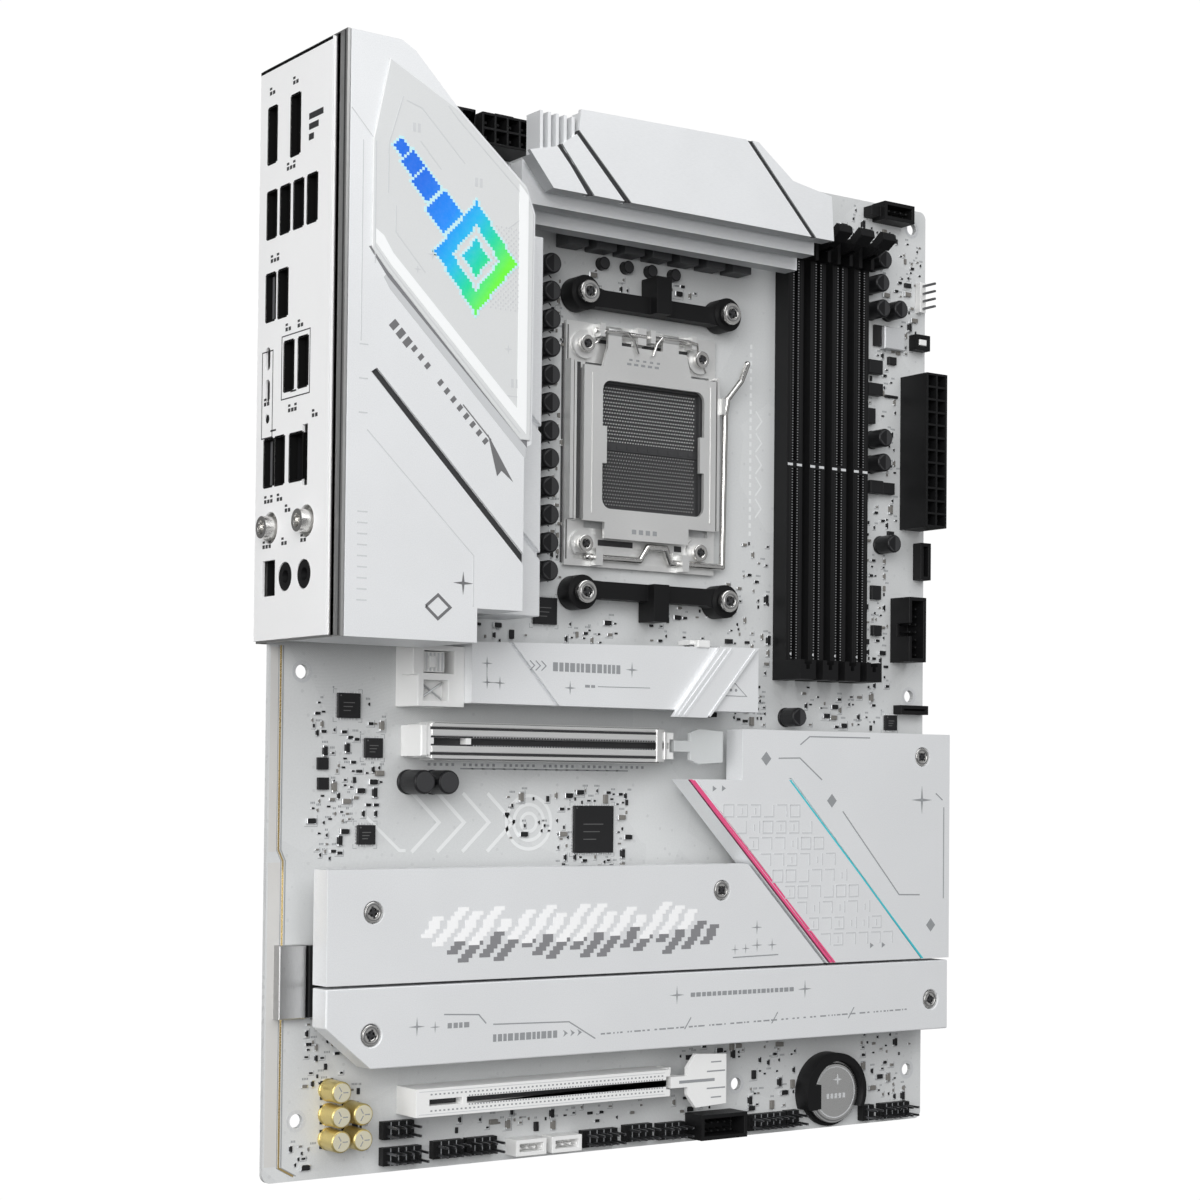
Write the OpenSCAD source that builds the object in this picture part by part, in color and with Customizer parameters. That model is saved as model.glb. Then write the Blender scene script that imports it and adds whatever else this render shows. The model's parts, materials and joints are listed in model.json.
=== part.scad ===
// Desktop motherboard, full-size board with integrated rear panel.
// The board lies flat: X runs from the rear edge to the front edge, Y from the
// expansion-slot end to the processor end, Z away from the component side.
// Every module is drawn in board coordinates (rear-bottom corner at 0, 0 and
// the component face at Z = 0) and at_board() moves it to the part's own frame.

/* [Board] */
// Board size from the rear edge to the front edge
board_w = 243.84; // [240:0.01:248]
// Board size from the slot end to the processor end
board_h = 304.8; // [302:0.01:308]
// Thickness of the laminate
board_t = 1.6; // [1.4:0.1:2.4]
// Diameter of the mounting holes
hole_d = 3.96; // [3.6:0.01:4.2]

/* [Rear panel] */
// Height of the printed faceplate's upper edge over the board
face_top = 37.5; // [34:0.5:39]
// Height of the port cover over the board
cover_top = 44; // [42:0.5:46]
// Depth of the panel below the component face
panel_drop = 4.3; // [4.3:0.1:5]
// Thickness of the cover's walls
cover_wall = 1.6; // [1.2:0.1:2]
// Length of the port housings behind the panel
port_depth = 17; // [14:0.5:18]

/* [Processor socket] */
// Spacing of the cooler screws across the socket
cooler_dx = 54; // [54:0.5:54]
// Spacing of the cooler screws along the socket
cooler_dy = 90; // [90:0.5:90]
// Thickness of the load plate
plate_t = 1.2; // [1:0.1:1.5]
// Diameter of the lever wire
lever_d = 2; // [1.8:0.1:2]

/* [Memory slots] */
// Distance between neighbouring slots
dimm_pitch = 9.3; // [9:0.1:9.5]
// Width of a slot
dimm_w = 6.4; // [6:0.1:6.6]
// Height of a slot's rail
dimm_h = 6.6; // [6:0.2:7.5]
// Height of the closed latches
latch_h = 20.2; // [18:0.2:21]

/* [Heat sinks] */
// Height of the top converter heat sink
sink_top = 34; // [33:0.5:36]
// Height of the left converter heat sink
side_top = 28; // [26:0.5:28]
// Height of the upper drive heat sink
drive_top = 16.5; // [15:0.5:18]
// Height of the lower drive plates and the chipset plate
plate_top = 14; // [13:0.5:15]

/* [Expansion slots] */
// Length of a long expansion slot
slot_len = 89; // [88:0.1:90]
// Height of an expansion slot
slot_h = 11; // [10.5:0.1:11.5]

/* [Hidden] */
$fn = 48;

// Centre of the lower four mounting holes, where the part's origin lies
origin_x = 123.825;
origin_y = 78.74;

corner_r = 2.5;

// Mounting holes
hole_rows = [[10.16, 16.51], [10.16, 140.97], [237.49, 16.51], [237.49, 140.97],
  [165.1, 16.51], [165.1, 140.97], [33.02, 298.45], [165.1, 298.45], [237.49, 298.45]];

// Socket
socket_c = [127.24, 212.87];
cooler_holes = [for (sx = [-1, 1], sy = [-1, 1]) socket_c + [sx * cooler_dx / 2, sy * cooler_dy / 2]];
frame_holes = [for (x = [102.8, 146.2], y = [182.8, 243.2]) [x, y]];
window = [107.8, 193.7, 146.4, 232.6];
window_r = 3;
hinge = [247.5, 4.0];
hinge_pin_r = 0.8;
lever_axis = [179, 2.4];
lever_r = lever_d / 2;

// Memory slots
dimm_x = [for (i = [0:3]) 181.8 + i * dimm_pitch];
dimm_y = [147, 279.5];
dimm_key = 213.4;
dimm_pivot = [284.5, 3.4];

// Rear panel planes
face_x = -2.8;
shield_x = -2.0;
behind_x = -1.2;
panel_y = [148.3, 307.8];

// Port openings, each [low y, high y, low z, high z]
usb_h = 5.2;
hdmi_cut = [280.6, 295.8, 0.8, 5.6];
dp_cut = [280.0, 296.2, 14.2, 19.2];
tall_cuts = [for (i = [0:3]) [259.8, 272.4, 0.8 + 7.8 * i, 0.8 + 7.8 * i + usb_h]];
upper_cuts = [for (z = [0.8, 8.0]) [236.9, 249.6, z, z + usb_h]];
middle_cuts = [for (z = [12, 20.2]) [216.2, 229.4, z, z + usb_h]];
lan_usb_cuts = [for (z = [0.8, 7.2]) [191.2, 204.0, z, z + usb_h]];
rj_cut = [191.3, 203.8, 15.8, 23.1];
rj_top_cut = [189.4, 205.8, 23.1, 26.1];
usbc_y = [217.5, 226.4];
usbc_z = 2.3;
button_c = [209.8, 2.3];
antenna_c = [[179.6, 4.9], [179.8, 25.7]];
optical_cut = [160.9, 170.7, 0.6, 8.2];
jack_c = [[165.7, 13.9], [165.7, 24.7]];

// Cover outlines, outer and inner; the rear side is closed by the panel
cover_out = [[-0.9, 307.8], [14.2, 307.8], [18.6, 305.6], [31.8, 292.8], [54.4, 274.6], [57.2, 267.5],
  [56.8, 203.6], [54.4, 202.6], [54.4, 157.6], [39.8, 157.6], [39.8, 148.3], [-0.9, 148.3]];
cover_in = [[-1.5, 306.2], [13.6, 306.2], [17.6, 304.4], [31.0, 291.2], [53.1, 273.6], [55.6, 267.2],
  [55.2, 204.6], [52.8, 203.6], [52.8, 159.2], [38.2, 159.2], [38.2, 149.9], [-1.5, 149.9]];
window_out = [[10.6, 301.9], [5.8, 279.4], [5.8, 251.0], [10.8, 245.3], [26.8, 229.9], [53.0, 204.6],
  [56.0, 204.6], [56.4, 267.3], [53.8, 274.0], [31.6, 291.9]];

// Top converter heat sink, one outline per level
sink_main = [[78.4, 296.9], [79, 303], [139.4, 304.6], [165.0, 278.9], [97.0, 278.9]];
sink_seg2 = [[72.6, 292], [77.6, 295.6], [95.6, 278.9], [84.0, 278.9]];
sink_seg1 = [[61.7, 288.6], [71.1, 291], [82.4, 278.9], [69.9, 278.9]];
sink_right = [[141.4, 304.6], [144.0, 304.6], [157.6, 295], [173.1, 292.6], [174.1, 278.9], [167, 278.9]];

// Drive and chipset plates
long_plate = [[11.5, 86.3], [158.2, 86.3], [189.2, 54.5], [11.5, 54.5]];
lower_plate = [[11.5, 53.7], [242.6, 53.7], [242.6, 31.2], [25.6, 31.2], [11.5, 43]];
chip_plate = [[155.5, 128], [243.2, 128], [243.2, 54.5], [190.6, 54.5], [134.2, 112.3], [155.5, 112.3]];
plate_screws = [[26, 74.4], [148, 78.3], [25.7, 40.5], [235.2, 41], [231, 120.5]];

// ---------------------------------------------------------------- helpers
module at_board() {
  translate([-origin_x, -origin_y, board_t]) children();
}

module block(x0, y0, z0, x1, y1, z1) {
  translate([x0, y0, z0]) cube([x1 - x0, y1 - y0, z1 - z0]);
}

module slab(points, z0, z1) {
  translate([0, 0, z0]) linear_extrude(z1 - z0) polygon(points);
}

module post(c, z0, z1, r) {
  translate([c[0], c[1], z0]) cylinder(h = z1 - z0, r = r);
}

// Cylinder along X between two X positions, centre given in Y and Z
module x_rod(x0, x1, c, r) {
  translate([x0, c[0], c[1]]) rotate([0, 90, 0]) cylinder(h = x1 - x0, r = r);
}

// Round wire through a list of points, with ball elbows
module wire(points, r) {
  for (i = [0:len(points) - 2]) {
    d = points[i + 1] - points[i];
    translate(points[i])
      rotate([0, acos(d[2] / norm(d)), atan2(d[1], d[0])])
        cylinder(h = norm(d), r = r, $fn = 24);
  }
  for (p = points) translate(p) sphere(r = r, $fn = 24);
}

// Port opening through the panel or into a housing
module port_cut(cut, x0, x1, gap = 0) {
  block(x0, cut[0] - gap, cut[2] - gap, x1, cut[1] + gap, cut[3] + gap);
}

// Flat round-ended opening for a small reversible plug
module usbc_cut(y, x0, x1, gap = 0) {
  for (s = [-1, 1]) x_rod(x0, x1, [y + s * 1.8, usbc_z], 1.4 + gap);
  block(x0, y - 1.8, usbc_z - 1.4 - gap, x1, y + 1.8, usbc_z + 1.4 + gap);
}

// All openings of the rear panel
module panel_cuts(gap) {
  x0 = face_x - 1;
  x1 = behind_x + 0.01;
  cuts = concat([hdmi_cut, dp_cut, rj_cut, rj_top_cut, optical_cut], tall_cuts, upper_cuts,
    middle_cuts, lan_usb_cuts);
  for (c = cuts) port_cut(c, x0, x1, gap);
  for (y = usbc_y) usbc_cut(y, x0, x1, gap);
  x_rod(x0, x1, button_c, 1.3 + gap);
  for (c = antenna_c) x_rod(x0, x1, c, 4.4 + gap);
  for (c = jack_c) x_rod(x0, x1, c, 4.0 + gap);
}

// Metal housing with one pocket and tongue per opening
module usb_housing(cuts, top) {
  y0 = cuts[0][0] - 0.9;
  y1 = cuts[0][1] + 0.9;
  difference() {
    block(behind_x, y0, 0, port_depth, y1, top);
    for (c = cuts) port_cut(c, behind_x - 1, 10);
  }
  for (c = cuts) block(0, c[0] + 1.2, c[3] - 2.6, 10.01, c[1] - 1.2, c[3] - 0.7);
}

// ---------------------------------------------------------------- board
module pcb() {
  at_board() color("gainsboro") difference() {
    block(0, 0, -board_t, board_w, board_h, 0);
    for (sx = [-1, 1], sy = [-1, 1]) board_corner(sx, sy);
    for (h = hole_rows) post(h, -board_t - 1, 1, hole_d / 2);
    for (h = cooler_holes) post(h, -board_t - 1, 1, 3.1);
    for (h = frame_holes) post(h, -board_t - 1, 1, 1.9);
  }
}

// What is cut away outside one rounded corner of the board
module board_corner(sx, sy) {
  x = sx < 0 ? corner_r : board_w - corner_r;
  y = sy < 0 ? corner_r : board_h - corner_r;
  difference() {
    block(min(x, x + sx * 4), min(y, y + sy * 4), -board_t - 1, max(x, x + sx * 4), max(y, y + sy * 4), 1);
    post([x, y], -board_t - 2, 2, corner_r);
  }
}

// Steel plate under the socket, with threaded bosses through the board
module cpu_backplate() {
  x0 = cooler_holes[0][0] - 6;
  x1 = cooler_holes[2][0] + 6;
  y0 = cooler_holes[0][1] - 6;
  y1 = cooler_holes[1][1] + 6;
  at_board() color("dimgray") difference() {
    union() {
      block(x0, y0, -board_t - 2.6, x1, y1, -board_t);
      for (h = cooler_holes) post(h, -board_t, 0.4, 3.0);
      for (h = frame_holes) post(h, -board_t, 0, 1.8);
    }
    for (h = cooler_holes) post(h, -board_t - 3, 1, 1.6);
    for (h = frame_holes) post(h, -board_t - 3, 1, 1.1);
    block(socket_c[0] - 13, socket_c[1] - 13, -board_t - 3, socket_c[0] + 13, socket_c[1] + 13, 0);
  }
}

// ---------------------------------------------------------------- socket
module socket_housing() {
  at_board() color("dimgray") {
    difference() {
      block(104.7, 190.4, 0, 149.7, 235.6, 3.4);
      block(107.0, 192.9, 1.8, 147.2, 233.3, 4);
    }
  }
}

module socket_frame() {
  at_board() color("silver") {
    difference() {
      union() {
        block(96.6, 176.2, 0.4, 153.2, 250, 1.6);
        for (h = frame_holes) post(h, 1.6, 2.6, 4.4);
        // side rails with folded lips
        block(96.6, 190, 1.6, 97.8, 238, 4.2);
        block(152.2, 190, 1.6, 153.2, 238, 4.2);
        block(98.6, 190, 1.6, 99.4, 238, 3.4);
        // ears for the plate's hinge pin
        for (x = [106.4, 125.2, 141.0]) block(x, 245.6, 1.6, x + 1.8, 249.6, 5.6);
        // tongue between the knuckles
        block(121.0, 244.8, 1.6, 124.2, 250, 4.6);
        // cradle for the lever
        for (x = [106, 138.6]) block(x, 176.4, 1.6, x + 2.6, 181.6, 4.8);
        // keeper beside the lever's arm
        block(153.2, 226.6, 0.4, 154.6, 231.6, 5.4);
      }
      block(103.6, 187.8, 0, 150.6, 238, 5);
      for (h = frame_holes) post(h, 0, 3, 1.3);
      x_rod(100, 150, hinge, hinge_pin_r);
      x_rod(100, 156, lever_axis, lever_r + 0.06);
      // relief under the crank
      block(122.4, 177.9, 1.2, 137.2, 182.4, 2);
    }
  }
}

module plate_hinge_pin() {
  at_board() color("lightgray") x_rod(105.6, 143.6, hinge, hinge_pin_r);
}

module load_plate() {
  outline = [[108.8, 184.7], [140.6, 184.7], [140.6, 189.6], [151, 189.6], [151, 236.6], [141.2, 236.6],
    [139.2, 243.6], [109.8, 243.6], [107.8, 236.6], [101, 236.6], [101, 189.6], [108.8, 189.6]];
  z0 = 3.9;
  knuckles = [[109.6, 114.6], [130.2, 136.2]];
  at_board() color("silver") {
    difference() {
      union() {
        slab(outline, z0, z0 + plate_t);
        for (x = [101, 149.9]) block(x, 190.4, z0 - 1.4, x + 1.1, 235.8, z0 + 0.1);
        for (k = knuckles) {
          block(k[0], 243, z0, k[1], hinge[0], z0 + plate_t);
          x_rod(k[0], k[1], hinge, 1.6);
        }
      }
      block(window[0] + window_r, window[1], 3, window[2] - window_r, window[3], 6);
      block(window[0] + 1.6, window[1] + window_r, 3, window[2] - 1.6, window[3] - window_r, 6);
      block(window[0], window[1] + window_r, 3, window[2], 207.4, 6);
      block(window[0], 218.6, 3, window[2], window[3] - window_r, 6);
      for (x = [window[0] + window_r, window[2] - window_r])
        for (y = [window[1] + window_r, window[3] - window_r]) post([x, y], 3, 6, window_r);
      for (k = knuckles) x_rod(k[0] - 1, k[1] + 1, hinge, hinge_pin_r + 0.05);
    }
  }
}

// Wire lever: axis with a crank under the plate's nose, arm and hooked grip
module socket_lever() {
  y0 = lever_axis[0];
  z0 = lever_axis[1];
  path = [[104.4, y0, z0], [124, y0, z0], [126.4, 183.2, 3.2], [133.2, 183.2, 3.2], [135.6, y0, z0],
    [155.9, y0, z0], [155.9, 227, 3.4], [156.4, 232, 4.0], [160.8, 238, 5.2], [161.4, 243, 7.4]];
  at_board() color("silver") wire(path, lever_r);
}

module retention_screws() {
  at_board() color("silver") {
    for (h = cooler_holes) {
      difference() {
        post(h, 7, 9, 3.4);
        post(h, 8.1, 10, 1.5);
      }
      post(h, -board_t - 2, 7, 1.6);
    }
    for (h = frame_holes) {
      difference() {
        post(h, 2.6, 4.3, 2.6);
        post(h, 3.4, 5, 1.3);
      }
      post(h, -board_t - 2, 2.6, 1.1);
    }
  }
}

// Cooler bracket: two feet, a bar and a lug that points away from the socket
module cooler_bracket(side) {
  c = socket_c + [0, side * cooler_dy / 2];
  translate([c[0], c[1], 0]) mirror([0, side < 0 ? 1 : 0, 0]) difference() {
    union() {
      for (s = [-1, 1]) post([s * cooler_dx / 2, 0], 0.4, 6.6, 5.2);
      slab([[-27, -4], [-20, -3.6], [20, -3.6], [27, -4], [27, 3.4], [20, 1.6], [-20, 1.6], [-27, 3.4]],
        1.4, 6.2);
      block(-2.8, -3.6, 1.4, 2.8, 7.8, 9.6);
    }
    for (s = [-1, 1]) post([s * cooler_dx / 2, 0], 0, 8, 1.7);
  }
}

module cooler_bracket_upper() {
  at_board() color([0.1, 0.1, 0.1]) cooler_bracket(1);
}

module cooler_bracket_lower() {
  at_board() color([0.1, 0.1, 0.1]) cooler_bracket(-1);
}

// ---------------------------------------------------------------- memory
module dimm_slot(i) {
  w = dimm_w / 2;
  at_board() color([0.12, 0.12, 0.12]) translate([dimm_x[i], 0, 0]) difference() {
    union() {
      block(-w, dimm_y[0], 0, w, dimm_y[1], dimm_h);
      block(-w, 144.4, 0, w, 150.6, 14);
      for (s = [-1, 1]) block(s * w - (s > 0 ? 1.3 : 0), dimm_y[1], 0, s * w + (s > 0 ? 0 : 1.3), 288, 9);
    }
    block(-0.75, 147.6, 2.6, 0.75, dimm_key - 1.1, 15);
    block(-0.75, dimm_key + 1.1, 2.6, 0.75, dimm_y[1] + 1, 15);
    block(-1.5, 149.2, 6.6, 1.5, 151, 15);
    x_rod(-w - 1, w + 1, dimm_pivot, 1.0);
  }
}

module dimm_slot_1() { dimm_slot(0); }
module dimm_slot_2() { dimm_slot(1); }
module dimm_slot_3() { dimm_slot(2); }
module dimm_slot_4() { dimm_slot(3); }

// Latch that swings out at the top end, with pivot stubs and a thumb pad
module dimm_latch(i) {
  y = dimm_pivot[0];
  profile = [[y - 1.6, 1.4], [y + 1.6, 1.4], [y + 2.2, 9], [y + 3, 15.4], [y + 5.2, 18.6], [y + 4.4, 19.8],
    [y + 2.4, latch_h], [y, 16.4], [y - 1.5, 12], [y - 1.9, 6]];
  at_board() color([0.15, 0.15, 0.15]) translate([dimm_x[i], 0, 0]) difference() {
    union() {
      translate([-1.6, 0, 0]) rotate([90, 0, 90]) linear_extrude(3.2) polygon(profile);
      translate([-2.8, 0, 0]) rotate([90, 0, 90]) linear_extrude(5.6)
        polygon([[y + 1, 14.6], [y + 2.9, 14.6], [y + 3, 15.4], [y + 5.2, 18.6], [y + 4.4, 19.8],
          [y + 2.4, latch_h], [y, 16.4]]);
      x_rod(-2.9, 2.9, dimm_pivot, 0.94);
    }
    block(-0.75, y - 3, 2.6, 0.75, y + 0.2, 13);
  }
}

module dimm_latch_1() { dimm_latch(0); }
module dimm_latch_2() { dimm_latch(1); }
module dimm_latch_3() { dimm_latch(2); }
module dimm_latch_4() { dimm_latch(3); }

// ---------------------------------------------------------------- power
// Power socket housing with a grid of square cells and contact pins
module cell_housing(x0, y0, nx, ny, h) {
  pitch = 4.2;
  difference() {
    block(x0, y0, 0, x0 + nx * pitch + 0.8, y0 + ny * pitch + 0.8, h);
    for (i = [0:nx - 1], j = [0:ny - 1])
      translate([x0 + 0.4 + pitch * (i + 0.5), y0 + 0.4 + pitch * (j + 0.5), 3])
        translate([-1.75, -1.75, 0]) cube([3.5, 3.5, h]);
  }
  for (i = [0:nx - 1], j = [0:ny - 1])
    translate([x0 + 0.4 + pitch * (i + 0.5), y0 + 0.4 + pitch * (j + 0.5), 2.9])
      translate([-0.45, -0.45, 0]) cube([0.9, 0.9, h - 5]);
}

module atx_power_connector() {
  at_board() color([0.12, 0.12, 0.12]) {
    cell_housing(232.9, 196.6, 2, 12, 13);
    block(242.1, 217, 5, 243.6, 226, 11.4);
  }
}

module eps_power_connectors() {
  at_board() color([0.12, 0.12, 0.12]) for (x = [39.4, 59.2]) {
    cell_housing(x, 294.6, 4, 2, 12.6);
    block(x + 5.6, 303.8, 5, x + 12, 304.7, 10.6);
  }
}

module power_stages() {
  at_board() color([0.15, 0.15, 0.15]) {
    for (i = [0:7]) block(59.5, 176 + 10.8 * i, 0, 65.5, 181 + 10.8 * i, 1.4);
    for (i = [0:6]) block(94 + 10.4 * i, 281.8, 0, 99 + 10.4 * i, 287, 1.4);
  }
}

module power_chokes() {
  at_board() color("gray") {
    for (i = [0:7]) block(72, 175 + 10.8 * i, 0, 79.4, 182.4 + 10.8 * i, 7);
    for (i = [0:6]) block(93.4 + 10.4 * i, 271.6, 0, 100.8 + 10.4 * i, 279, 7);
  }
}

// Round aluminium-polymer capacitors: the long column, the top row and loose ones
module capacitors() {
  at_board() color([0.1, 0.1, 0.1]) {
    for (i = [0:11]) capacitor([87.4, 173.4 + 8.3 * i], 3.2, 8);
    for (i = [0:3]) capacitor([110 + 9 * i, 268.8], 2.0, 2.4);
    for (c = [[44.4, 110.6], [52.4, 110.6]]) capacitor(c, 3.6, 10);
    for (c = [[218.4, 276.6], [218.9, 268.2], [226.6, 268.8], [224.2, 190.8], [219.4, 284.4],
      [220.1, 225.5], [219.7, 217.3], [184, 132.6]]) capacitor(c, 3.1, 7.4);
  }
}

module capacitor(c, r, h) {
  post(c, 0, 0.8, r);
  post(c, 0.8, h, r - 0.15);
}

// ---------------------------------------------------------------- converter heat sinks
module vrm_heatsink_left() {
  at_board() color("lightgray") {
    difference() {
      union() {
        block(56.4, 157.8, 8.6, 70.6, 266, side_top);
        block(40.6, 160, 20, 52.4, 266, 40);
        block(52.4, 160, 20, 56.4, 266, side_top);
        block(58, 174, 2.6, 66.5, 262, 8.6);
      }
      // two slanted grooves across the strip
      for (y = [176, 212])
        slab([[55, y + 14.6], [55, y + 12.6], [72, y - 3.4], [72, y - 1.4]], side_top - 1.6, side_top + 1);
      // channels between the cooling ribs under the cover
      for (y = [168:7:258]) block(39, y, 24, 54, y + 3, 41);
    }
  }
}

module vrm_heatsink_top() {
  deck = [[64, 0], [172.4, 0], [172.4, 14.4], [157, 18.4], [145, 25.4], [80, 25.4], [80, 16], [64, 12]];
  at_board() color("lightgray") {
    difference() {
      union() {
        for (p = [sink_main, sink_seg2, sink_seg1, sink_right]) slab(p, sink_top - 1.4, sink_top);
        // carrier under the top plates
        slab([[62.6, 287.6], [70.2, 278.9], [173.6, 278.9], [172.8, 291.8], [157.4, 294.2], [143.4, 303.8],
          [79.4, 302.4], [78.8, 292.6]], sink_top - 5.4, sink_top - 1.4);
        translate([0, 275.6, 0]) slab(deck, 20.6, 26.4);
        translate([0, 272.3, 0]) slab(deck, 12.4, 18.2);
        slab([[70, 281.5], [168, 281.5], [168, 288.5], [156, 291.5], [145, 296.5], [82, 296.5],
          [82, 287.6], [70, 286.6]], 9, sink_top - 5.4);
        block(92, 281.5, 2.6, 168, 287.5, 9);
      }
      // stepped grooves between the top plates
      slab([[82.2, 278], [83.8, 278], [72.4, 292.4], [70.9, 292]], sink_top - 3, sink_top + 1);
      slab([[95.4, 278], [97.2, 278], [77.9, 297.4], [77.2, 296]], sink_top - 3, sink_top + 1);
    }
    // upright fins behind the two narrow plates
    for (i = [0:4]) block(65.4 + 2.7 * i, 287, 26.4, 66.4 + 2.7 * i, 300.5, sink_top - 0.6);
  }
}

module thermal_pads() {
  at_board() color("lightsteelblue") {
    block(59, 175, 1.4, 66, 261, 2.6);
    block(93, 281.8, 1.4, 167, 287.2, 2.6);
    block(66, 134.5, 5, 142, 149.5, 6);
    block(40, 57, 5, 110, 83, 6);
    block(40, 33, 5, 110, 52, 6);
    block(176, 86, 2.2, 194, 104, 3);
  }
}

// ---------------------------------------------------------------- rear panel
module io_shield() {
  at_board() color("silver") {
    difference() {
      block(shield_x, panel_y[0], -panel_drop, behind_x, panel_y[1], cover_top);
      panel_cuts(0.2);
    }
    block(behind_x, panel_y[0], -panel_drop, 3, panel_y[1], -panel_drop + 0.8);
  }
}

module io_faceplate() {
  at_board() color("white") difference() {
    block(face_x, panel_y[0] + 0.6, -panel_drop + 0.2, shield_x, panel_y[1] - 0.6, face_top);
    panel_cuts(0);
  }
}

module io_cover() {
  at_board() color("whitesmoke") difference() {
    slab(cover_out, 14, cover_top);
    slab(cover_in, 13, cover_top - cover_wall);
    // the right side stops over the left heat sink
    block(39.9, 156, 13, 60, 292, side_top + 0.3);
    // seat of the frosted window
    slab(window_out, cover_top - 0.8, cover_top + 1);
    // slanted vent and trim line
    slab([[6.2, 218.2], [8, 219.4], [54.4, 173.4], [54.4, 170.4]], cover_top - 0.7, cover_top + 1);
  }
}

module io_window() {
  at_board() color([0.9, 0.95, 0.95, 0.7]) slab(window_out, cover_top - 0.8, cover_top + 0.6);
}

module led_board() {
  at_board() color("white") slab([[10, 298], [8, 279], [8, 252], [30, 230], [40, 222], [40, 284], [30, 290]],
    40.4, 41.4);
}

// ---------------------------------------------------------------- rear connectors
module video_ports() {
  at_board() color("silver") {
    difference() {
      block(behind_x, 279.7, 0, 11, 296.7, 6.5);
      port_cut(hdmi_cut, behind_x - 1, 8);
    }
    block(0, 283, 2.2, 8.01, 293.4, 3.6);
    difference() {
      block(behind_x, 279.1, 6.5, 13, 297.1, 20.1);
      port_cut(dp_cut, behind_x - 1, 9);
    }
    block(0, 283, 15.8, 9.01, 293.4, 17.2);
  }
}

module usb_stack_tall() {
  at_board() color("silver") usb_housing(tall_cuts, 30.6);
}

module usb_stack_upper() {
  at_board() color("silver") usb_housing(upper_cuts, 14.2);
}

// Two small reversible sockets under a raised pair
module usb_stack_middle() {
  y0 = middle_cuts[0][0] - 0.9;
  y1 = middle_cuts[0][1] + 0.9;
  at_board() color("silver") {
    for (y = usbc_y) {
      difference() {
        block(behind_x, y - 4.2, 0, 10, y + 4.2, 4.6);
        usbc_cut(y, behind_x - 1, 7);
      }
      block(0, y - 2, usbc_z - 0.35, 7.01, y + 2, usbc_z + 0.35);
    }
    translate([0, 0, 4.6]) block(behind_x, y0, 0, port_depth, y1, 6.5);
    difference() {
      block(behind_x, y0, 11.1, port_depth, y1, 26.4);
      for (c = middle_cuts) port_cut(c, behind_x - 1, 10);
    }
    for (c = middle_cuts) block(0, c[0] + 1.2, c[3] - 2.6, 10.01, c[1] - 1.2, c[3] - 0.7);
  }
}

module lan_usb_stack() {
  at_board() color("silver") {
    difference() {
      block(behind_x, 188.6, 0, port_depth + 4, 206.6, 27);
      for (c = lan_usb_cuts) port_cut(c, behind_x - 1, 10);
      port_cut(rj_cut, behind_x - 1, 13);
      port_cut(rj_top_cut, behind_x - 1, 2);
      block(behind_x - 1, 194.2, 23, 13, 200.8, 25.4);
    }
    for (c = lan_usb_cuts) block(0, c[0] + 1.2, c[3] - 2.6, 10.01, c[1] - 1.2, c[3] - 0.7);
  }
}

module antenna_jacks() {
  at_board() color("silver") for (c = antenna_c) {
    block(behind_x, c[0] - 4.8, 0, 6, c[0] + 4.8, 9.8);
    if (c[1] > 10) block(behind_x, c[0] - 4.8, 9.8, 6, c[0] + 4.8, c[1] + 4.8);
    difference() {
      x_rod(-5.6, behind_x, c, 3.1);
      x_rod(-6, -3.4, c, 1.9);
    }
    x_rod(-4.9, -3.4, c, 0.5);
  }
}

module audio_jacks() {
  at_board() color([0.12, 0.12, 0.12]) {
    difference() {
      block(behind_x, 160, 0, 12, 171.6, 9);
      port_cut(optical_cut, behind_x - 1, 1.6);
    }
    x_rod(0, 1.61, [165.8, 4.4], 1.8);
    difference() {
      block(behind_x, 160, 9, 14, 171.6, 30);
      for (c = jack_c) x_rod(behind_x - 1, 10, c, 1.8);
    }
    for (c = jack_c) difference() {
      x_rod(-2.6, behind_x, c, 3.8);
      x_rod(-3, behind_x + 0.01, c, 1.8);
    }
  }
}

module flash_button() {
  at_board() color([0.1, 0.1, 0.1]) {
    x_rod(-2.6, 1.2, button_c, 1.15);
    block(1.2, button_c[0] - 1.6, button_c[1] - 1.6, 2.4, button_c[0] + 1.6, button_c[1] + 1.6);
  }
}

// ---------------------------------------------------------------- drives
module m2_heatsink_upper() {
  body = [[55.4, 133.2], [159.6, 133.2], [159.6, 153], [120, 152.2], [55.4, 150.6]];
  strap = [[143.6, 152.8], [158.6, 153], [138.6, 131], [125.6, 131]];
  at_board() color("whitesmoke") difference() {
    union() {
      slab(body, 6, drive_top);
      slab(strap, drive_top, drive_top + 1.6);
    }
    slab([[66.8, 152], [68.2, 152], [86.6, 132], [85.2, 132]], drive_top - 1.2, drive_top + 1);
    block(54, 132, 6, 160, 134.4, 8);
  }
}

// White housing of the quick release, with two windows on top
module m2_release_bracket() {
  at_board() color("white") difference() {
    union() {
      block(40, 132, 0, 55.4, 149.2, 12.6);
      block(38.4, 140.8, 6, 40, 148.6, 12.6);
    }
    block(42, 141.4, 5, 52, 147.8, 13);
    block(42, 133.6, 9, 50, 139.4, 13);
  }
}

module m2_release_slider() {
  at_board() color("lightgray") {
    block(42.3, 141.7, 5.3, 49.4, 147.5, 11.4);
    block(44, 143, 11.4, 46, 146.2, 12.4);
  }
}

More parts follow.
